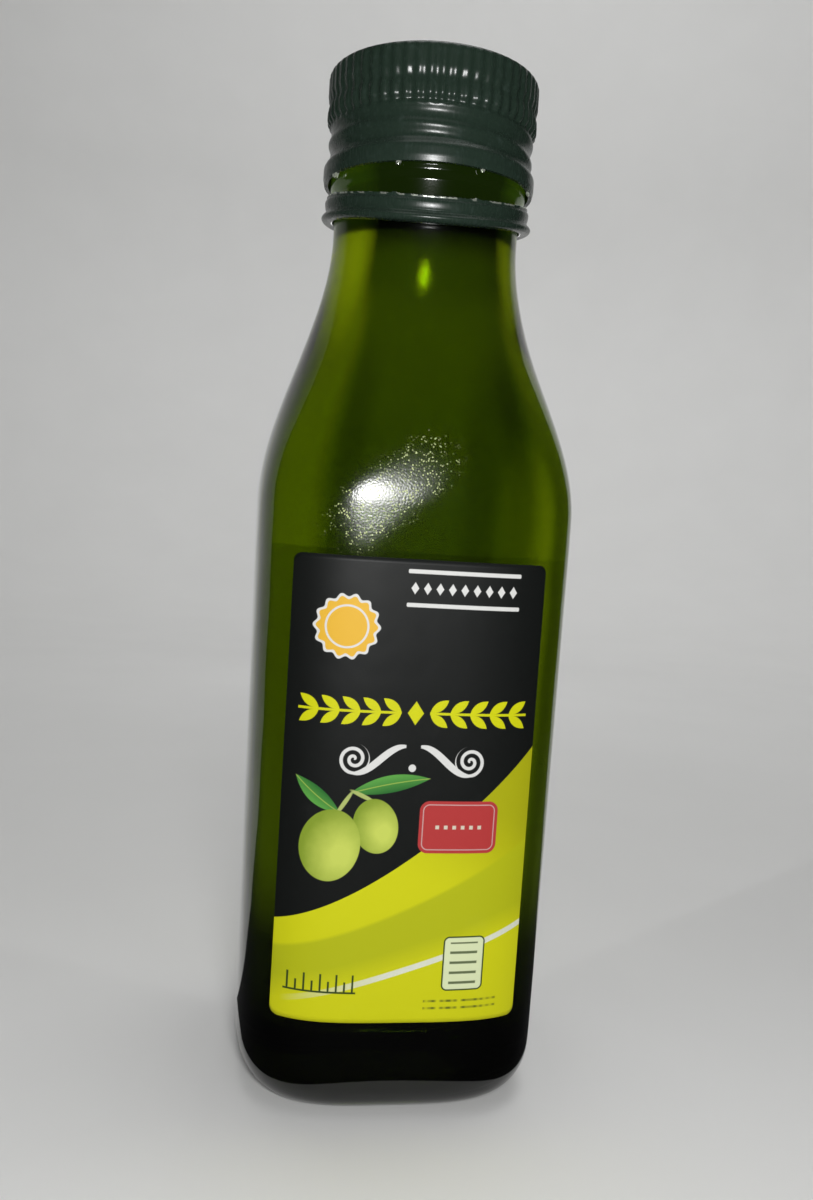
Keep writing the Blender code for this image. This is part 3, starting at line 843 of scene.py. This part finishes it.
def dotted_plaque(finish, colour):
    """A red plaque with a thin line inside its edge and a row of dots."""
    middle = PLAQUE[0]
    plaque = rounded_box(finish, *PLAQUE)
    colour = finish.mix(stay_inside(finish, plaque), colour, RED)
    line = abs(plaque + PLAQUE_LINE_INSET) - PLAQUE_LINE_HALF
    colour = finish.mix(PLAQUE_LINE_SHARE * stay_inside(finish, line), colour, WHITE)
    dots = off_nearest(finish.across, DOT_FIRST, DOT_PITCH) - DOT_HALF
    dots = finish.larger(dots, abs(finish.up - middle[1]) - DOT_HALF)
    dots = finish.larger(dots, abs(finish.across - middle[0]) - DOT_ROW_HALF)
    return finish.mix(DOT_SHARE * stay_inside(finish, dots), colour, PALE)


def small_print(finish, colour):
    """A small ruled box, and rows of dashes under it."""
    box = rounded_box(finish, *TABLE)
    colour = finish.mix(stay_inside(finish, box), colour, INK)
    colour = finish.mix(stay_inside(finish, box + TABLE_BORDER), colour, PALE_LIME)
    rows = ruled_rows(finish, TABLE[0], TABLE_ROWS_HALF, TABLE_ROWS)
    colour = finish.mix(TABLE_ROW_SHARE * stay_inside(finish, rows), colour, INK)
    rows = ruled_rows(finish, DASH_MIDDLE, DASH_ROWS_HALF, DASH_ROWS)
    along_rows = finish.noise(DASH_SIZE, detail=0.0, stretch=(1.0, 0.0, 0.0))
    dashes = finish.clamped(along_rows * DASH_CONTRAST[0] - DASH_CONTRAST[1])
    return finish.mix(DASH_SHARE * stay_inside(finish, rows) * dashes, colour, INK)


def front_print(finish):
    """The whole design of the front label, from its fields up."""
    colour = fields(finish)
    colour = finish.mix(bars_and_lozenges(finish), colour, WHITE)
    colour = seal(finish, colour)
    colour = finish.mix(frieze(finish), colour, LIME)
    colour = finish.mix(flourish(finish), colour, WHITE)
    colour = sprig(finish, colour)
    colour = dotted_plaque(finish, colour)
    colour = small_print(finish, colour)
    return finish.mix(scale_mark(finish), colour, INK)


def back_print(finish):
    """Charcoal head, lime field, and a pale panel ruled with thin lines."""
    colour = finish.mix(stay_inside(finish, BACK_HEAD - finish.up), LIME, CHARCOAL)
    panel = rounded_box(finish, *BACK_PANEL)
    colour = finish.mix(stay_inside(finish, panel), colour, PALE)
    rows = ruled_rows(finish, BACK_PANEL[0], BACK_ROWS_HALF, BACK_ROWS)
    along_rows = finish.noise(BACK_DASH_SIZE, detail=1.0, stretch=(1.0, 0.0, 4.0))
    dashes = finish.clamped(along_rows * BACK_DASH_CONTRAST[0] - BACK_DASH_CONTRAST[1])
    return finish.mix(BACK_ROW_SHARE * stay_inside(finish, rows) * dashes, colour, INK)


# Paper
PAINTED_PAPER_GLOW = 0.45              # painted glow on the glued side of the paper, which is no lamp
GLUED_DARK = (0.62, 0.60, 0.52)
GLUED_LIGHT = (0.76, 0.75, 0.68)
GLUED_ROUGHNESS = 0.7
BLOTCH_SIZE = 5.0 * MM
PAPER_IOR = 1.5
PRINT_ROUGHNESS = 0.42
FIBRE_SIZE = 0.22 * MM
FIBRE_SHOWS = 0.004            # how much of the white fibre shows through the print
FIBRE_ROUGHNESS = 0.1
RUB_SIZE = 6.0 * MM
RUB_SHOWS = 0.01
RUB_ROUGHNESS = 0.08
RUB_LEVEL = 0.6                # noise above this counts as rubbed
RUB_CONTRAST = 3.0
COCKLE_SIZE = 4.0 * MM
COCKLE_HEIGHT = 2.0            # against the fibre's
PAPER_BUMP = 0.008 * MM


def glued_side_finish():
    """The plain side of a label, which shows through the corners of the bottle, with a painted glow in its
    own colour.
    """
    finish = Finish("glued side of a label", IOR=PAPER_IOR, Emission_Strength=PAINTED_PAPER_GLOW)
    blotch = finish.noise(BLOTCH_SIZE, detail=3.0)
    paper = finish.mix(blotch, GLUED_DARK, GLUED_LIGHT)
    finish.set("Base Color", paper)
    # Painted glow: the glued side shines in its own paper colour.
    finish.set("Emission Color", paper)
    finish.set("Roughness", GLUED_ROUGHNESS)
    return finish.material


def paper_finish(name, print_design):
    """Coated label paper: the print, a satin varnish, fibres and a little handling wear."""
    finish = Finish(name, IOR=PAPER_IOR, Specular_IOR_Level=0.2)
    fibre = finish.noise(FIBRE_SIZE, detail=3.0)
    handled = finish.noise(RUB_SIZE, detail=4.0, roughness=0.65)
    rub = finish.clamped((handled - RUB_LEVEL) * RUB_CONTRAST)
    printed = finish.mix(FIBRE_SHOWS * fibre, print_design(finish), WHITE)
    finish.set("Base Color", finish.mix(RUB_SHOWS * rub, printed, WHITE))
    finish.set("Roughness", PRINT_ROUGHNESS + FIBRE_ROUGHNESS * fibre + RUB_ROUGHNESS * rub)
    finish.bump(fibre + COCKLE_HEIGHT * finish.noise(COCKLE_SIZE), PAPER_BUMP)
    return finish.material


def half_width(height):
    """Outside half-width of the glass from the top of the heel to the neck."""
    rise = (height - HEEL_RISE) / (SHOULDER_START - HEEL_RISE)
    wall = FOOT_HALF_WIDTH + (SHOULDER_HALF_WIDTH - FOOT_HALF_WIDTH) * min(rise, 1.0)
    return wall + (NECK_RADIUS - wall) * smooth_step(height, SHOULDER_START, NECK_START)


def squareness(height):
    """The outline's exponent, from the body's rounded square to the neck's circle."""
    return SQUARENESS + (CIRCLE - SQUARENESS) * smooth_step(height, TURN_START, TURN_END)


def outline(half, square, height):
    """One closed outline of the bottle, seen from above."""
    points = []
    for column in range(BODY_COLUMNS):
        angle = 2.0 * pi * column / BODY_COLUMNS
        across = cos(angle)
        along = sin(angle)
        reach = half / (abs(across) ** square + abs(along) ** square) ** (1.0 / square)
        points.append((reach * across, reach * along, height))
    return points


def heel_sections(top_half, inset, bottom, rise, steps):
    """A rounded lower edge, from its flat bottom up to the straight wall."""
    sections = []
    for turn in spaced(0.0, pi / 2.0, steps):
        half = top_half - inset + inset * sin(turn)
        sections.append((half, SQUARENESS, bottom + rise * (1.0 - cos(turn))))
    return sections


def rounded_steps(radius_from, radius_to, start, end):
    """A soft step between two radii of the neck."""
    sections = []
    for height in spaced(start, end, ROUNDING_STEPS):
        share = smooth_step(height, start, end)
        sections.append((radius_from + (radius_to - radius_from) * share, CIRCLE, height))
    return sections


def outer_sections():
    """The outside of the glass, from the middle of the punt up to the mouth."""
    land = FOOT_HALF_WIDTH - HEEL_INSET
    punt_edge = land - STANDING_RIM_WIDTH
    flat = PUNT_FLAT_SHARE * punt_edge
    sections = [(PIN_RADIUS, SQUARENESS, PUNT_RISE), (flat, SQUARENESS, PUNT_RISE)]
    for half in spaced(flat, punt_edge, PUNT_STEPS):
        sections.append((half, SQUARENESS, PUNT_RISE * (1.0 - smooth_step(half, flat, punt_edge))))
    sections.append((land, SQUARENESS, 0.0))
    sections += heel_sections(FOOT_HALF_WIDTH, HEEL_INSET, 0.0, HEEL_RISE, HEEL_STEPS)
    for height in steps_between(HEEL_RISE, SHOULDER_START, STRAIGHT_STEP):
        sections.append((half_width(height), squareness(height), height))
    for height in steps_between(SHOULDER_START, NECK_START, CURVED_STEP):
        sections.append((half_width(height), squareness(height), height))
    collar_foot = COLLAR_START - COLLAR_FLANK
    sections.append((NECK_RADIUS, CIRCLE, collar_foot))
    sections += rounded_steps(NECK_RADIUS, COLLAR_RADIUS, collar_foot, COLLAR_START + COLLAR_FLANK)
    sections += rounded_steps(COLLAR_RADIUS, FINISH_RADIUS, COLLAR_END, COLLAR_END + COLLAR_FLANK)
    sections.append((FINISH_RADIUS, CIRCLE, MOUTH - COLLAR_FLANK))
    sections.append((FINISH_RADIUS - MOUTH_ROUNDING, CIRCLE, MOUTH - MOUTH_ROUNDING))
    sections.append((FINISH_RADIUS - COLLAR_FLANK, CIRCLE, MOUTH))
    return sections


def cavity_sections(inset, floor, top):
    """The inside of the glass, floor to top, drawn in by the inset from the outside wall."""
    wall_half = half_width(floor + INNER_HEEL) - inset
    sections = [(PIN_RADIUS, SQUARENESS, floor), (wall_half - INNER_HEEL, SQUARENESS, floor)]
    sections += heel_sections(wall_half, INNER_HEEL, floor, INNER_HEEL, INNER_HEEL_STEPS)
    for height in steps_between(floor + INNER_HEEL, SHOULDER_START, STRAIGHT_STEP):
        sections.append((half_width(height) - inset, squareness(height), height))
    for height in steps_between(SHOULDER_START, top, CURVED_STEP):
        sections.append((half_width(height) - inset, squareness(height), height))
    return sections


def make_glass():
    """The bottle as one closed wall; its inner faces, which the oil wets, have a finish of their own."""
    outside = outer_sections()
    inside = cavity_sections(WALL, FLOOR, NECK_START)
    inside += [(BORE_RADIUS, CIRCLE, height) for height in (COLLAR_START, OIL_LEVEL, MOUTH)]
    mesh = skin("glass_wall", [outline(*section) for section in outside + list(reversed(inside))])
    glass = add_object("glass_wall", mesh, glass_finish())
    mesh.materials.append(wetted_finish())
    first_wetted = (len(outside) + 1) * BODY_COLUMNS
    punt_face = len(mesh.polygons) - 2
    for face in mesh.polygons[first_wetted:]:
        face.material_index = 0 if face.index == punt_face else 1
    return dress(glass, "green_glass", "bottle_glass")


def make_oil():
    """The oil, a little larger than the hollow, with a hollowed surface in the neck."""
    in_neck = BORE_RADIUS + OIL_REACH
    sections = cavity_sections(WALL - OIL_REACH, FLOOR - OIL_REACH, NECK_START)
    sections += [(in_neck, CIRCLE, COLLAR_START), (in_neck, CIRCLE, OIL_LEVEL)]
    for share in spaced(0.0, SURFACE_SHARE, ROUNDING_STEPS):
        height = OIL_LEVEL - MENISCUS * smooth_step(share, 0.0, MENISCUS_WIDTH)
        sections.append((in_neck * (1.0 - share), CIRCLE, height))
    rings = [outline(*section) for section in sections]
    return dress(add_object("oil_fill", skin("oil_fill", rings), oil_finish()), "oil", "oil")


def circle_point(radius, turn, height):
    """A point on a level circle, one full turn counted from +X."""
    angle = 2.0 * pi * turn
    return (radius * cos(angle), radius * sin(angle), height)


CAP_STEPS = (
    (CAP_TOP - CAP_TOP_ROUNDING, CAP_RADIUS),
    (KNURL_WAIST + WAIST_HALF, CAP_RADIUS),
    (KNURL_WAIST, WAIST_RADIUS),
    (KNURL_WAIST - WAIST_HALF, CAP_RADIUS),
    (KNURL_FOOT, CAP_RADIUS),
    (GROOVE_TOP, GROOVE_RADIUS),
    (GROOVE_FOOT, GROOVE_RADIUS),
    (SKIRT_TOP, SKIRT_RADIUS),
    (SKIRT_FOOT, SKIRT_RADIUS),
    (CAP_RIM, RIM_RADIUS),
)


def cap_radius(height, turn):
    """Outside radius of the cap's wall, with its pressed knurl and rolled thread."""
    radius = RIM_RADIUS
    for (upper, upper_radius), (lower, lower_radius) in zip(CAP_STEPS, CAP_STEPS[1:]):
        if lower <= height <= upper:
            radius = lower_radius + (upper_radius - lower_radius) * smooth_step(height, lower, upper)
            break
    pressed = smooth_step(height, KNURL_RUNOUT - KNURL_END, KNURL_RUNOUT + KNURL_END)
    pressed *= 1.0 - smooth_step(height, KNURL_TOP - KNURL_END, KNURL_TOP + KNURL_END)
    pressed *= 1.0 - (1.0 - KNURL_TOP_SHARE) * smooth_step(height, KNURL_FOOT, KNURL_WAIST + WAIST_HALF)
    valley = 0.5 - 0.5 * cos(2.0 * pi * KNURL_RIDGES * turn)
    radius -= KNURL_DEPTH * pressed * valley
    ridge = THREAD_FRONT - THREAD_PITCH * (turn - FRONT_TURN)
    away = min(abs(height - ridge - THREAD_PITCH * lap) for lap in (-1, 0, 1))
    in_groove = smooth_step(height, GROOVE_FOOT - KNURL_END, GROOVE_FOOT)
    in_groove *= 1.0 - smooth_step(height, GROOVE_TOP, GROOVE_TOP + KNURL_END)
    return radius + THREAD_BULGE * in_groove * (1.0 - smooth_step(away, 0.0, THREAD_RIDGE_HALF))


def make_cap():
    """The cap as rings of points: over the top, down the outside, round the rim and up inside."""
    shoulder = CAP_RADIUS - CAP_TOP_ROUNDING
    turns = [column / CAP_COLUMNS for column in range(CAP_COLUMNS)]
    rings = []
    for radius in (CAP_PIN_RADIUS, 0.5 * shoulder, 0.9 * shoulder, shoulder):
        rings.append([circle_point(radius, turn, CAP_TOP) for turn in turns])
    for bend in spaced(0.0, pi / 2.0, ROUNDING_STEPS):
        radius = shoulder + CAP_TOP_ROUNDING * sin(bend)
        height = CAP_TOP - CAP_TOP_ROUNDING * (1.0 - cos(bend))
        trim = CAP_RADIUS - radius
        rings.append([circle_point(cap_radius(height, turn) - trim, turn, height) for turn in turns])
    for height in steps_between(CAP_TOP - CAP_TOP_ROUNDING, CAP_RIM, CAP_STEP):
        rings.append([circle_point(cap_radius(height, turn), turn, height) for turn in turns])
    inside = [(CAP_SKIRT_BORE, CAP_RIM), (CAP_SKIRT_BORE, COLLAR_END + COLLAR_FLANK)]
    inside += [(CAP_THREAD_BORE, COLLAR_END + 2.0 * COLLAR_FLANK), (CAP_THREAD_BORE, CAP_INSIDE_TOP)]
    inside.append((CAP_PIN_RADIUS, CAP_INSIDE_TOP))
    for radius, height in inside:
        rings.append([circle_point(radius, turn, height) for turn in turns])
    cap = add_object("screw_cap", skin("screw_cap", rings), paint_finish("cap lacquer"), ROUND_SHARP_ANGLE)
    return dress(cap, "cap_metal", "cap")


def mark_torn(mesh, values):
    """Store how bare the metal is at each vertex."""
    attribute = mesh.attributes.new("torn", "FLOAT", "POINT")
    attribute.data.foreach_set("value", values)


def make_bridges():
    """The stubs of the torn bridges under the cap's rim, bare at their ragged ends."""
    chance = Random(8)
    build = bmesh.new()
    for number in range(BRIDGE_COUNT):
        bearing = radians(BRIDGE_FIRST_BEARING + 360.0 * number / BRIDGE_COUNT)
        place = Vector((BRIDGE_RADIUS, 0.0, CAP_RIM + BRIDGE_SUNK - 0.5 * BRIDGE_SIZE.z))
        turned = Matrix.Rotation(bearing + 2.0 * pi * FRONT_TURN, 4, "Z") @ Matrix.Translation(place)
        stub = bmesh.ops.create_cube(build, size=1.0)["verts"]
        lean = chance.uniform(-BRIDGE_LEAN, BRIDGE_LEAN)
        for corner in stub:
            if corner.co.z < 0.0:
                corner.co.y = lean + corner.co.y * chance.uniform(*BRIDGE_TAPER)
                corner.co.z += chance.uniform(0.0, BRIDGE_RAGGED)
            corner.co = turned @ (corner.co * Vector((BRIDGE_SIZE.y, BRIDGE_SIZE.x, BRIDGE_SIZE.z)))
    bmesh.ops.bevel(build, geom=build.edges[:], offset=BRIDGE_BEVEL, segments=2, affect="EDGES")
    mesh = bpy.data.meshes.new("cap_bridges")
    build.to_mesh(mesh)
    build.free()
    mark_torn(mesh, [smooth_step(CAP_RIM - point.co.z, *BRIDGE_BARE) for point in mesh.vertices])
    dress(add_object("cap_bridges", mesh, paint_finish("bridge lacquer")), "cap_metal")


def ring_profile():
    """The loose ring's section, its top edge at height 0: a lip, a bead, a flare and a curl under."""
    outside = [(RING_LIP_RADIUS, 0.0), (RING_GROOVE_RADIUS, -RING_GROOVE_DROP)]
    outside.append((RING_BEAD_RADIUS, -RING_BEAD_DROP))
    outside.append((RING_BEAD_RADIUS - RING_BEAD_TAPER, -RING_BEAD_DROP - RING_BEAD_TALL))
    outside.append((RING_GROOVE_RADIUS, -RING_BEAD_DROP - RING_BEAD_TALL - RING_GROOVE_DROP))
    outside.append((RING_FLARE_RADIUS, -RING_FLARE_DROP))
    outside.append((RING_FLARE_RADIUS - RING_FLARE_ROUNDING, RING_FLARE_ROUNDING - RING_TALL))
    outside.append((RING_LIP_RADIUS, -RING_TALL))
    curl_top = RING_CURL_TALL - RING_TALL
    inside = [(RING_CURL_RADIUS, -RING_TALL), (RING_CURL_RADIUS, curl_top)]
    inside.append((RING_FLARE_RADIUS - RING_WALL, curl_top + RING_CURL_TALL))
    inside.append((RING_BEAD_RADIUS - RING_WALL, -RING_BEAD_DROP))
    inside.append((RING_BEAD_RADIUS - RING_WALL, 0.0))
    return outside + inside


def corners_cut(points, passes):
    """Round a closed outline by cutting its corners."""
    for _ in range(passes):
        rounder = []
        for (x, y), (next_x, next_y) in zip(points, points[1:] + points[:1]):
            rounder.append((0.75 * x + 0.25 * next_x, 0.75 * y + 0.25 * next_y))
            rounder.append((0.25 * x + 0.75 * next_x, 0.25 * y + 0.75 * next_y))
        points = rounder
    return points


def ring_hang(turn):
    """How far the bent ring stands above its mean height, one full turn counted from +X."""
    bearing = 2.0 * pi * (turn - FRONT_TURN)
    return SIDE_RISE * sin(bearing) - FRONT_DROOP * cos(bearing) - SADDLE_DROOP * cos(2.0 * bearing)


def torn_edge(turn):
    """How far the ring's torn top edge stands up at one place."""
    ragged = TEAR_RAGGED * noise.noise(Vector(circle_point(TEAR_FINENESS, turn, 0.0)))
    away = abs((turn * TEARS_ROUND) % 1.0 - TEAR_PLACE)
    return ragged + TEAR_HEIGHT * max(0.0, 1.0 - away / TEAR_HALF_WIDTH)


def make_tamper_ring():
    """The bent ring: its profile swept round the neck, with a ragged top edge that is bare in patches."""
    rings = []
    bare = []
    for radius, drop in corners_cut(ring_profile(), 2):
        at_edge = smooth_step(drop, *TORN_BAND)
        ring = []
        for column in range(RING_COLUMNS):
            turn = column / RING_COLUMNS
            height = RING_HEIGHT + RING_TALL / 2.0 + drop + ring_hang(turn) + at_edge * torn_edge(turn)
            ring.append(circle_point(radius, turn, height))
            patch = noise.noise(Vector((turn * BARE_PATCHES, drop / MM, 3.0)))
            bare.append(at_edge if patch > BARE_LEVEL else 0.0)
        rings.append(ring)
    mesh = skin("torn_ring", rings, ends="joined")
    mark_torn(mesh, bare)
    ring = add_object("torn_ring", mesh, paint_finish("ring lacquer"), ROUND_SHARP_ANGLE)
    return dress(ring, "cap_metal", "tamper_ring")


def make_label(name, low, high, side, finish, glued_side, slot, node):
    """A thin paper sheet bent to the glass; side is -1 for the front face and 1 for the back."""
    middle = 0.5 * (low.x + high.x)
    half = 0.5 * (high.x - low.x)
    flat = half - LABEL_CORNER
    columns = [(-flat - LABEL_CORNER * cos(turn), LABEL_CORNER * (1.0 - sin(turn)))
               for turn in [0.0] + spaced(0.0, pi / 2.0, CORNER_STEPS)]
    columns += [(place, 0.0) for place in spaced(-flat, flat, LABEL_COLUMNS)]
    columns += [(flat + LABEL_CORNER * cos(turn), LABEL_CORNER * (1.0 - sin(turn)))
                for turn in spaced(pi / 2.0, 0.0, CORNER_STEPS)]
    build = bmesh.new()
    strips = []
    for place, corner in columns:
        across = middle + place
        strip = []
        for height in [low.z + corner] + spaced(low.z + corner, high.z - corner, LABEL_ROWS):
            ripple = LABEL_RIPPLE * noise.noise(Vector((across, side, height)) / LABEL_RIPPLE_SIZE)
            wall = half_width(height) + LABEL_OFF_GLASS + abs(ripple)
            depth = (wall ** SQUARENESS - abs(across) ** SQUARENESS) ** (1.0 / SQUARENESS)
            strip.append(build.verts.new((across, side * depth, height)))
        strips.append(strip)
    for left, right in zip(strips, strips[1:]):
        for row in range(LABEL_ROWS):
            corners = [left[row], right[row], right[row + 1], left[row + 1]]
            build.faces.new(corners if side < 0 else list(reversed(corners)))
    mesh = bpy.data.meshes.new(name)
    build.to_mesh(mesh)
    build.free()
    label = add_object(name, mesh, finish)
    sheet = label.modifiers.new("thickness", "SOLIDIFY")
    sheet.thickness = LABEL_THICKNESS
    sheet.offset = 1.0
    sheet.material_offset = 1
    label.data.materials.append(glued_side)
    return dress(label, slot, node)


# Studio: a pale floor and backdrop in metres, black cloth, lamps, sky and camera.
FLOOR_RADIUS = 0.7
FLOOR_MIDDLE_RADIUS = 0.05
SWEEP_RADIUS = 0.5
BACKDROP_HEIGHT = 1.4
FLOOR_GREY = (0.74, 0.74, 0.73)
FLOOR_PALE = (0.78, 0.78, 0.77)
FLOOR_ROUGHNESS = 0.6
FLAG_RADIUS = 0.32             # a dark screen round the bottle, open at the back
FLAG_HEIGHT = 0.75
FLAG_CLEAR = 0.032             # the dark cloth starts this far out, just above the floor
FLAG_FLOOR = 0.001
FLAG_OPENING = 0.15            # each side of the back, as a share of a full turn
BACK_TURN = 0.25
CLOTH_DARK = (0.008, 0.008, 0.009)
CLOTH_LIGHT = (0.014, 0.014, 0.015)
CLOTH_ROUGHNESS = 0.9
BOTTLE_MIDDLE = (0.0, 0.0, 0.088)
LAMPS = (  # name, place, aim, width and height in metres, watts, spread in degrees
    ("overhead", (0.15, 0.35, 1.2), (0.22, 0.9, 0.2), (0.9, 0.9), 4.3, 125.0),
    ("overhead_front", (0.0, -0.35, 1.2), (0.0, -0.9, 0.2), (0.9, 0.9), 1.6, 125.0),
    ("lamp_over_camera", (-0.022, -0.235, 0.134), BOTTLE_MIDDLE, (0.055, 0.035), 0.465, 180.0),
    ("glint_through_neck", (0.075, 0.50, 0.15), (0.0, 0.0, 0.14), (0.03, 0.07), 0.05, 180.0),
)
SKY = (0.95, 0.97, 1.0)
SKY_STRENGTH = 0.07
CAMERA_PLACE = Vector((-30.3, -191.4, 99.8)) * MM
CAMERA_AIM = Vector((0.8, 0.0, 84.0)) * MM
CAMERA_ROLL = 3.63             # degrees
LENS = 32.0                    # millimetres, on the long side of the frame
FRAME_LONG_SIDE = 36.0
CAMERA_CLIP = (0.01, 10.0)


def make_studio():
    """A pale floor that sweeps up into a round backdrop, far outside the bottle."""
    finish = Finish("pale floor")
    finish.set("Base Color", finish.mix(finish.noise(60.0 * MM), FLOOR_GREY, FLOOR_PALE))
    finish.set("Roughness", FLOOR_ROUGHNESS)
    profile = [(FLOOR_MIDDLE_RADIUS, 0.0), (FLOOR_RADIUS, 0.0)]
    for bend in spaced(0.0, pi / 2.0, SWEEP_STEPS):
        profile.append((FLOOR_RADIUS + SWEEP_RADIUS * sin(bend), SWEEP_RADIUS * (1.0 - cos(bend))))
    profile.append((FLOOR_RADIUS + SWEEP_RADIUS, BACKDROP_HEIGHT))
    turns = [column / STUDIO_COLUMNS for column in range(STUDIO_COLUMNS)]
    rings = [[circle_point(radius, turn, height) for turn in turns] for radius, height in profile]
    add_object("studio_floor", skin("studio_floor", rings, ends="open"), finish.material)


def make_flags():
    """Black cloth in front of and beside the bottle, there only for what its gloss reflects."""
    finish = Finish("black cloth")
    finish.set("Base Color", finish.mix(finish.noise(20.0 * MM), CLOTH_DARK, CLOTH_LIGHT))
    finish.set("Roughness", CLOTH_ROUGHNESS)
    build = bmesh.new()
    profile = ((FLAG_CLEAR, FLAG_FLOOR), (FLAG_RADIUS, FLAG_FLOOR), (FLAG_RADIUS, FLAG_HEIGHT))
    turns = spaced(BACK_TURN + FLAG_OPENING, BACK_TURN + 1.0 - FLAG_OPENING, FLAG_COLUMNS)
    rows = []
    for radius, height in profile:
        rows.append([build.verts.new(circle_point(radius, turn, height)) for turn in turns])
    for lower, upper in zip(rows, rows[1:]):
        for corners in zip(lower, lower[1:], upper[1:], upper):
            build.faces.new(corners)
    mesh = bpy.data.meshes.new("flags")
    build.to_mesh(mesh)
    build.free()
    flags = add_object("flags", mesh, finish.material)
    flags.visible_camera = False
    flags.visible_diffuse = False
    flags.visible_transmission = False
    flags.visible_shadow = False


def softbox(name, place, aim, size, watts, spread):
    """An oval lamp that faces its aim; size is its width and height in metres, spread is in degrees."""
    lamp = bpy.data.lights.new(name, "AREA")
    lamp.shape = "ELLIPSE"
    lamp.size, lamp.size_y = size
    lamp.energy = watts
    lamp.spread = radians(spread)
    made = bpy.data.objects.new(name, lamp)
    made.visible_camera = False
    made.location = place
    made.rotation_mode = "QUATERNION"
    made.rotation_quaternion = (Vector(aim) - Vector(place)).to_track_quat("-Z", "Y")
    bpy.context.scene.collection.objects.link(made)


def make_world():
    """A weak even light from all round."""
    world = bpy.data.worlds.new("soft daylight")
    bpy.context.scene.world = world
    world.use_nodes = True
    sky = world.node_tree.nodes["Background"]
    sky.inputs["Color"].default_value = (*SKY, 1.0)
    sky.inputs["Strength"].default_value = SKY_STRENGTH


def make_camera():
    """The photograph's viewpoint, a little rolled."""
    data = bpy.data.cameras.new("camera")
    data.lens = LENS
    data.sensor_width = FRAME_LONG_SIDE
    data.clip_start, data.clip_end = CAMERA_CLIP
    camera = bpy.data.objects.new("camera", data)
    camera.location = CAMERA_PLACE
    camera.rotation_mode = "QUATERNION"
    look = (CAMERA_AIM - CAMERA_PLACE).to_track_quat("-Z", "Y")
    camera.rotation_quaternion = look @ Quaternion((0.0, 0.0, 1.0), radians(CAMERA_ROLL))
    bpy.context.scene.collection.objects.link(camera)
    bpy.context.scene.camera = camera


def main():
    make_camera()
    make_world()
    make_studio()
    make_flags()
    for lamp in LAMPS:
        softbox(*lamp)
    make_glass()
    make_oil()
    make_cap()
    make_bridges()
    make_tamper_ring()
    glued_side = glued_side_finish()
    front = paper_finish("front label", front_print)
    make_label("front_label_paper", FRONT_LOW, FRONT_HIGH, -1, front, glued_side,
               "label_paper", "label_front")
    back = paper_finish("back label", back_print)
    make_label("back_label_paper", BACK_LOW, BACK_HIGH, 1, back, glued_side,
               "back_label_paper", "label_back")
    bpy.context.scene.view_settings.view_transform = "Standard"


main()
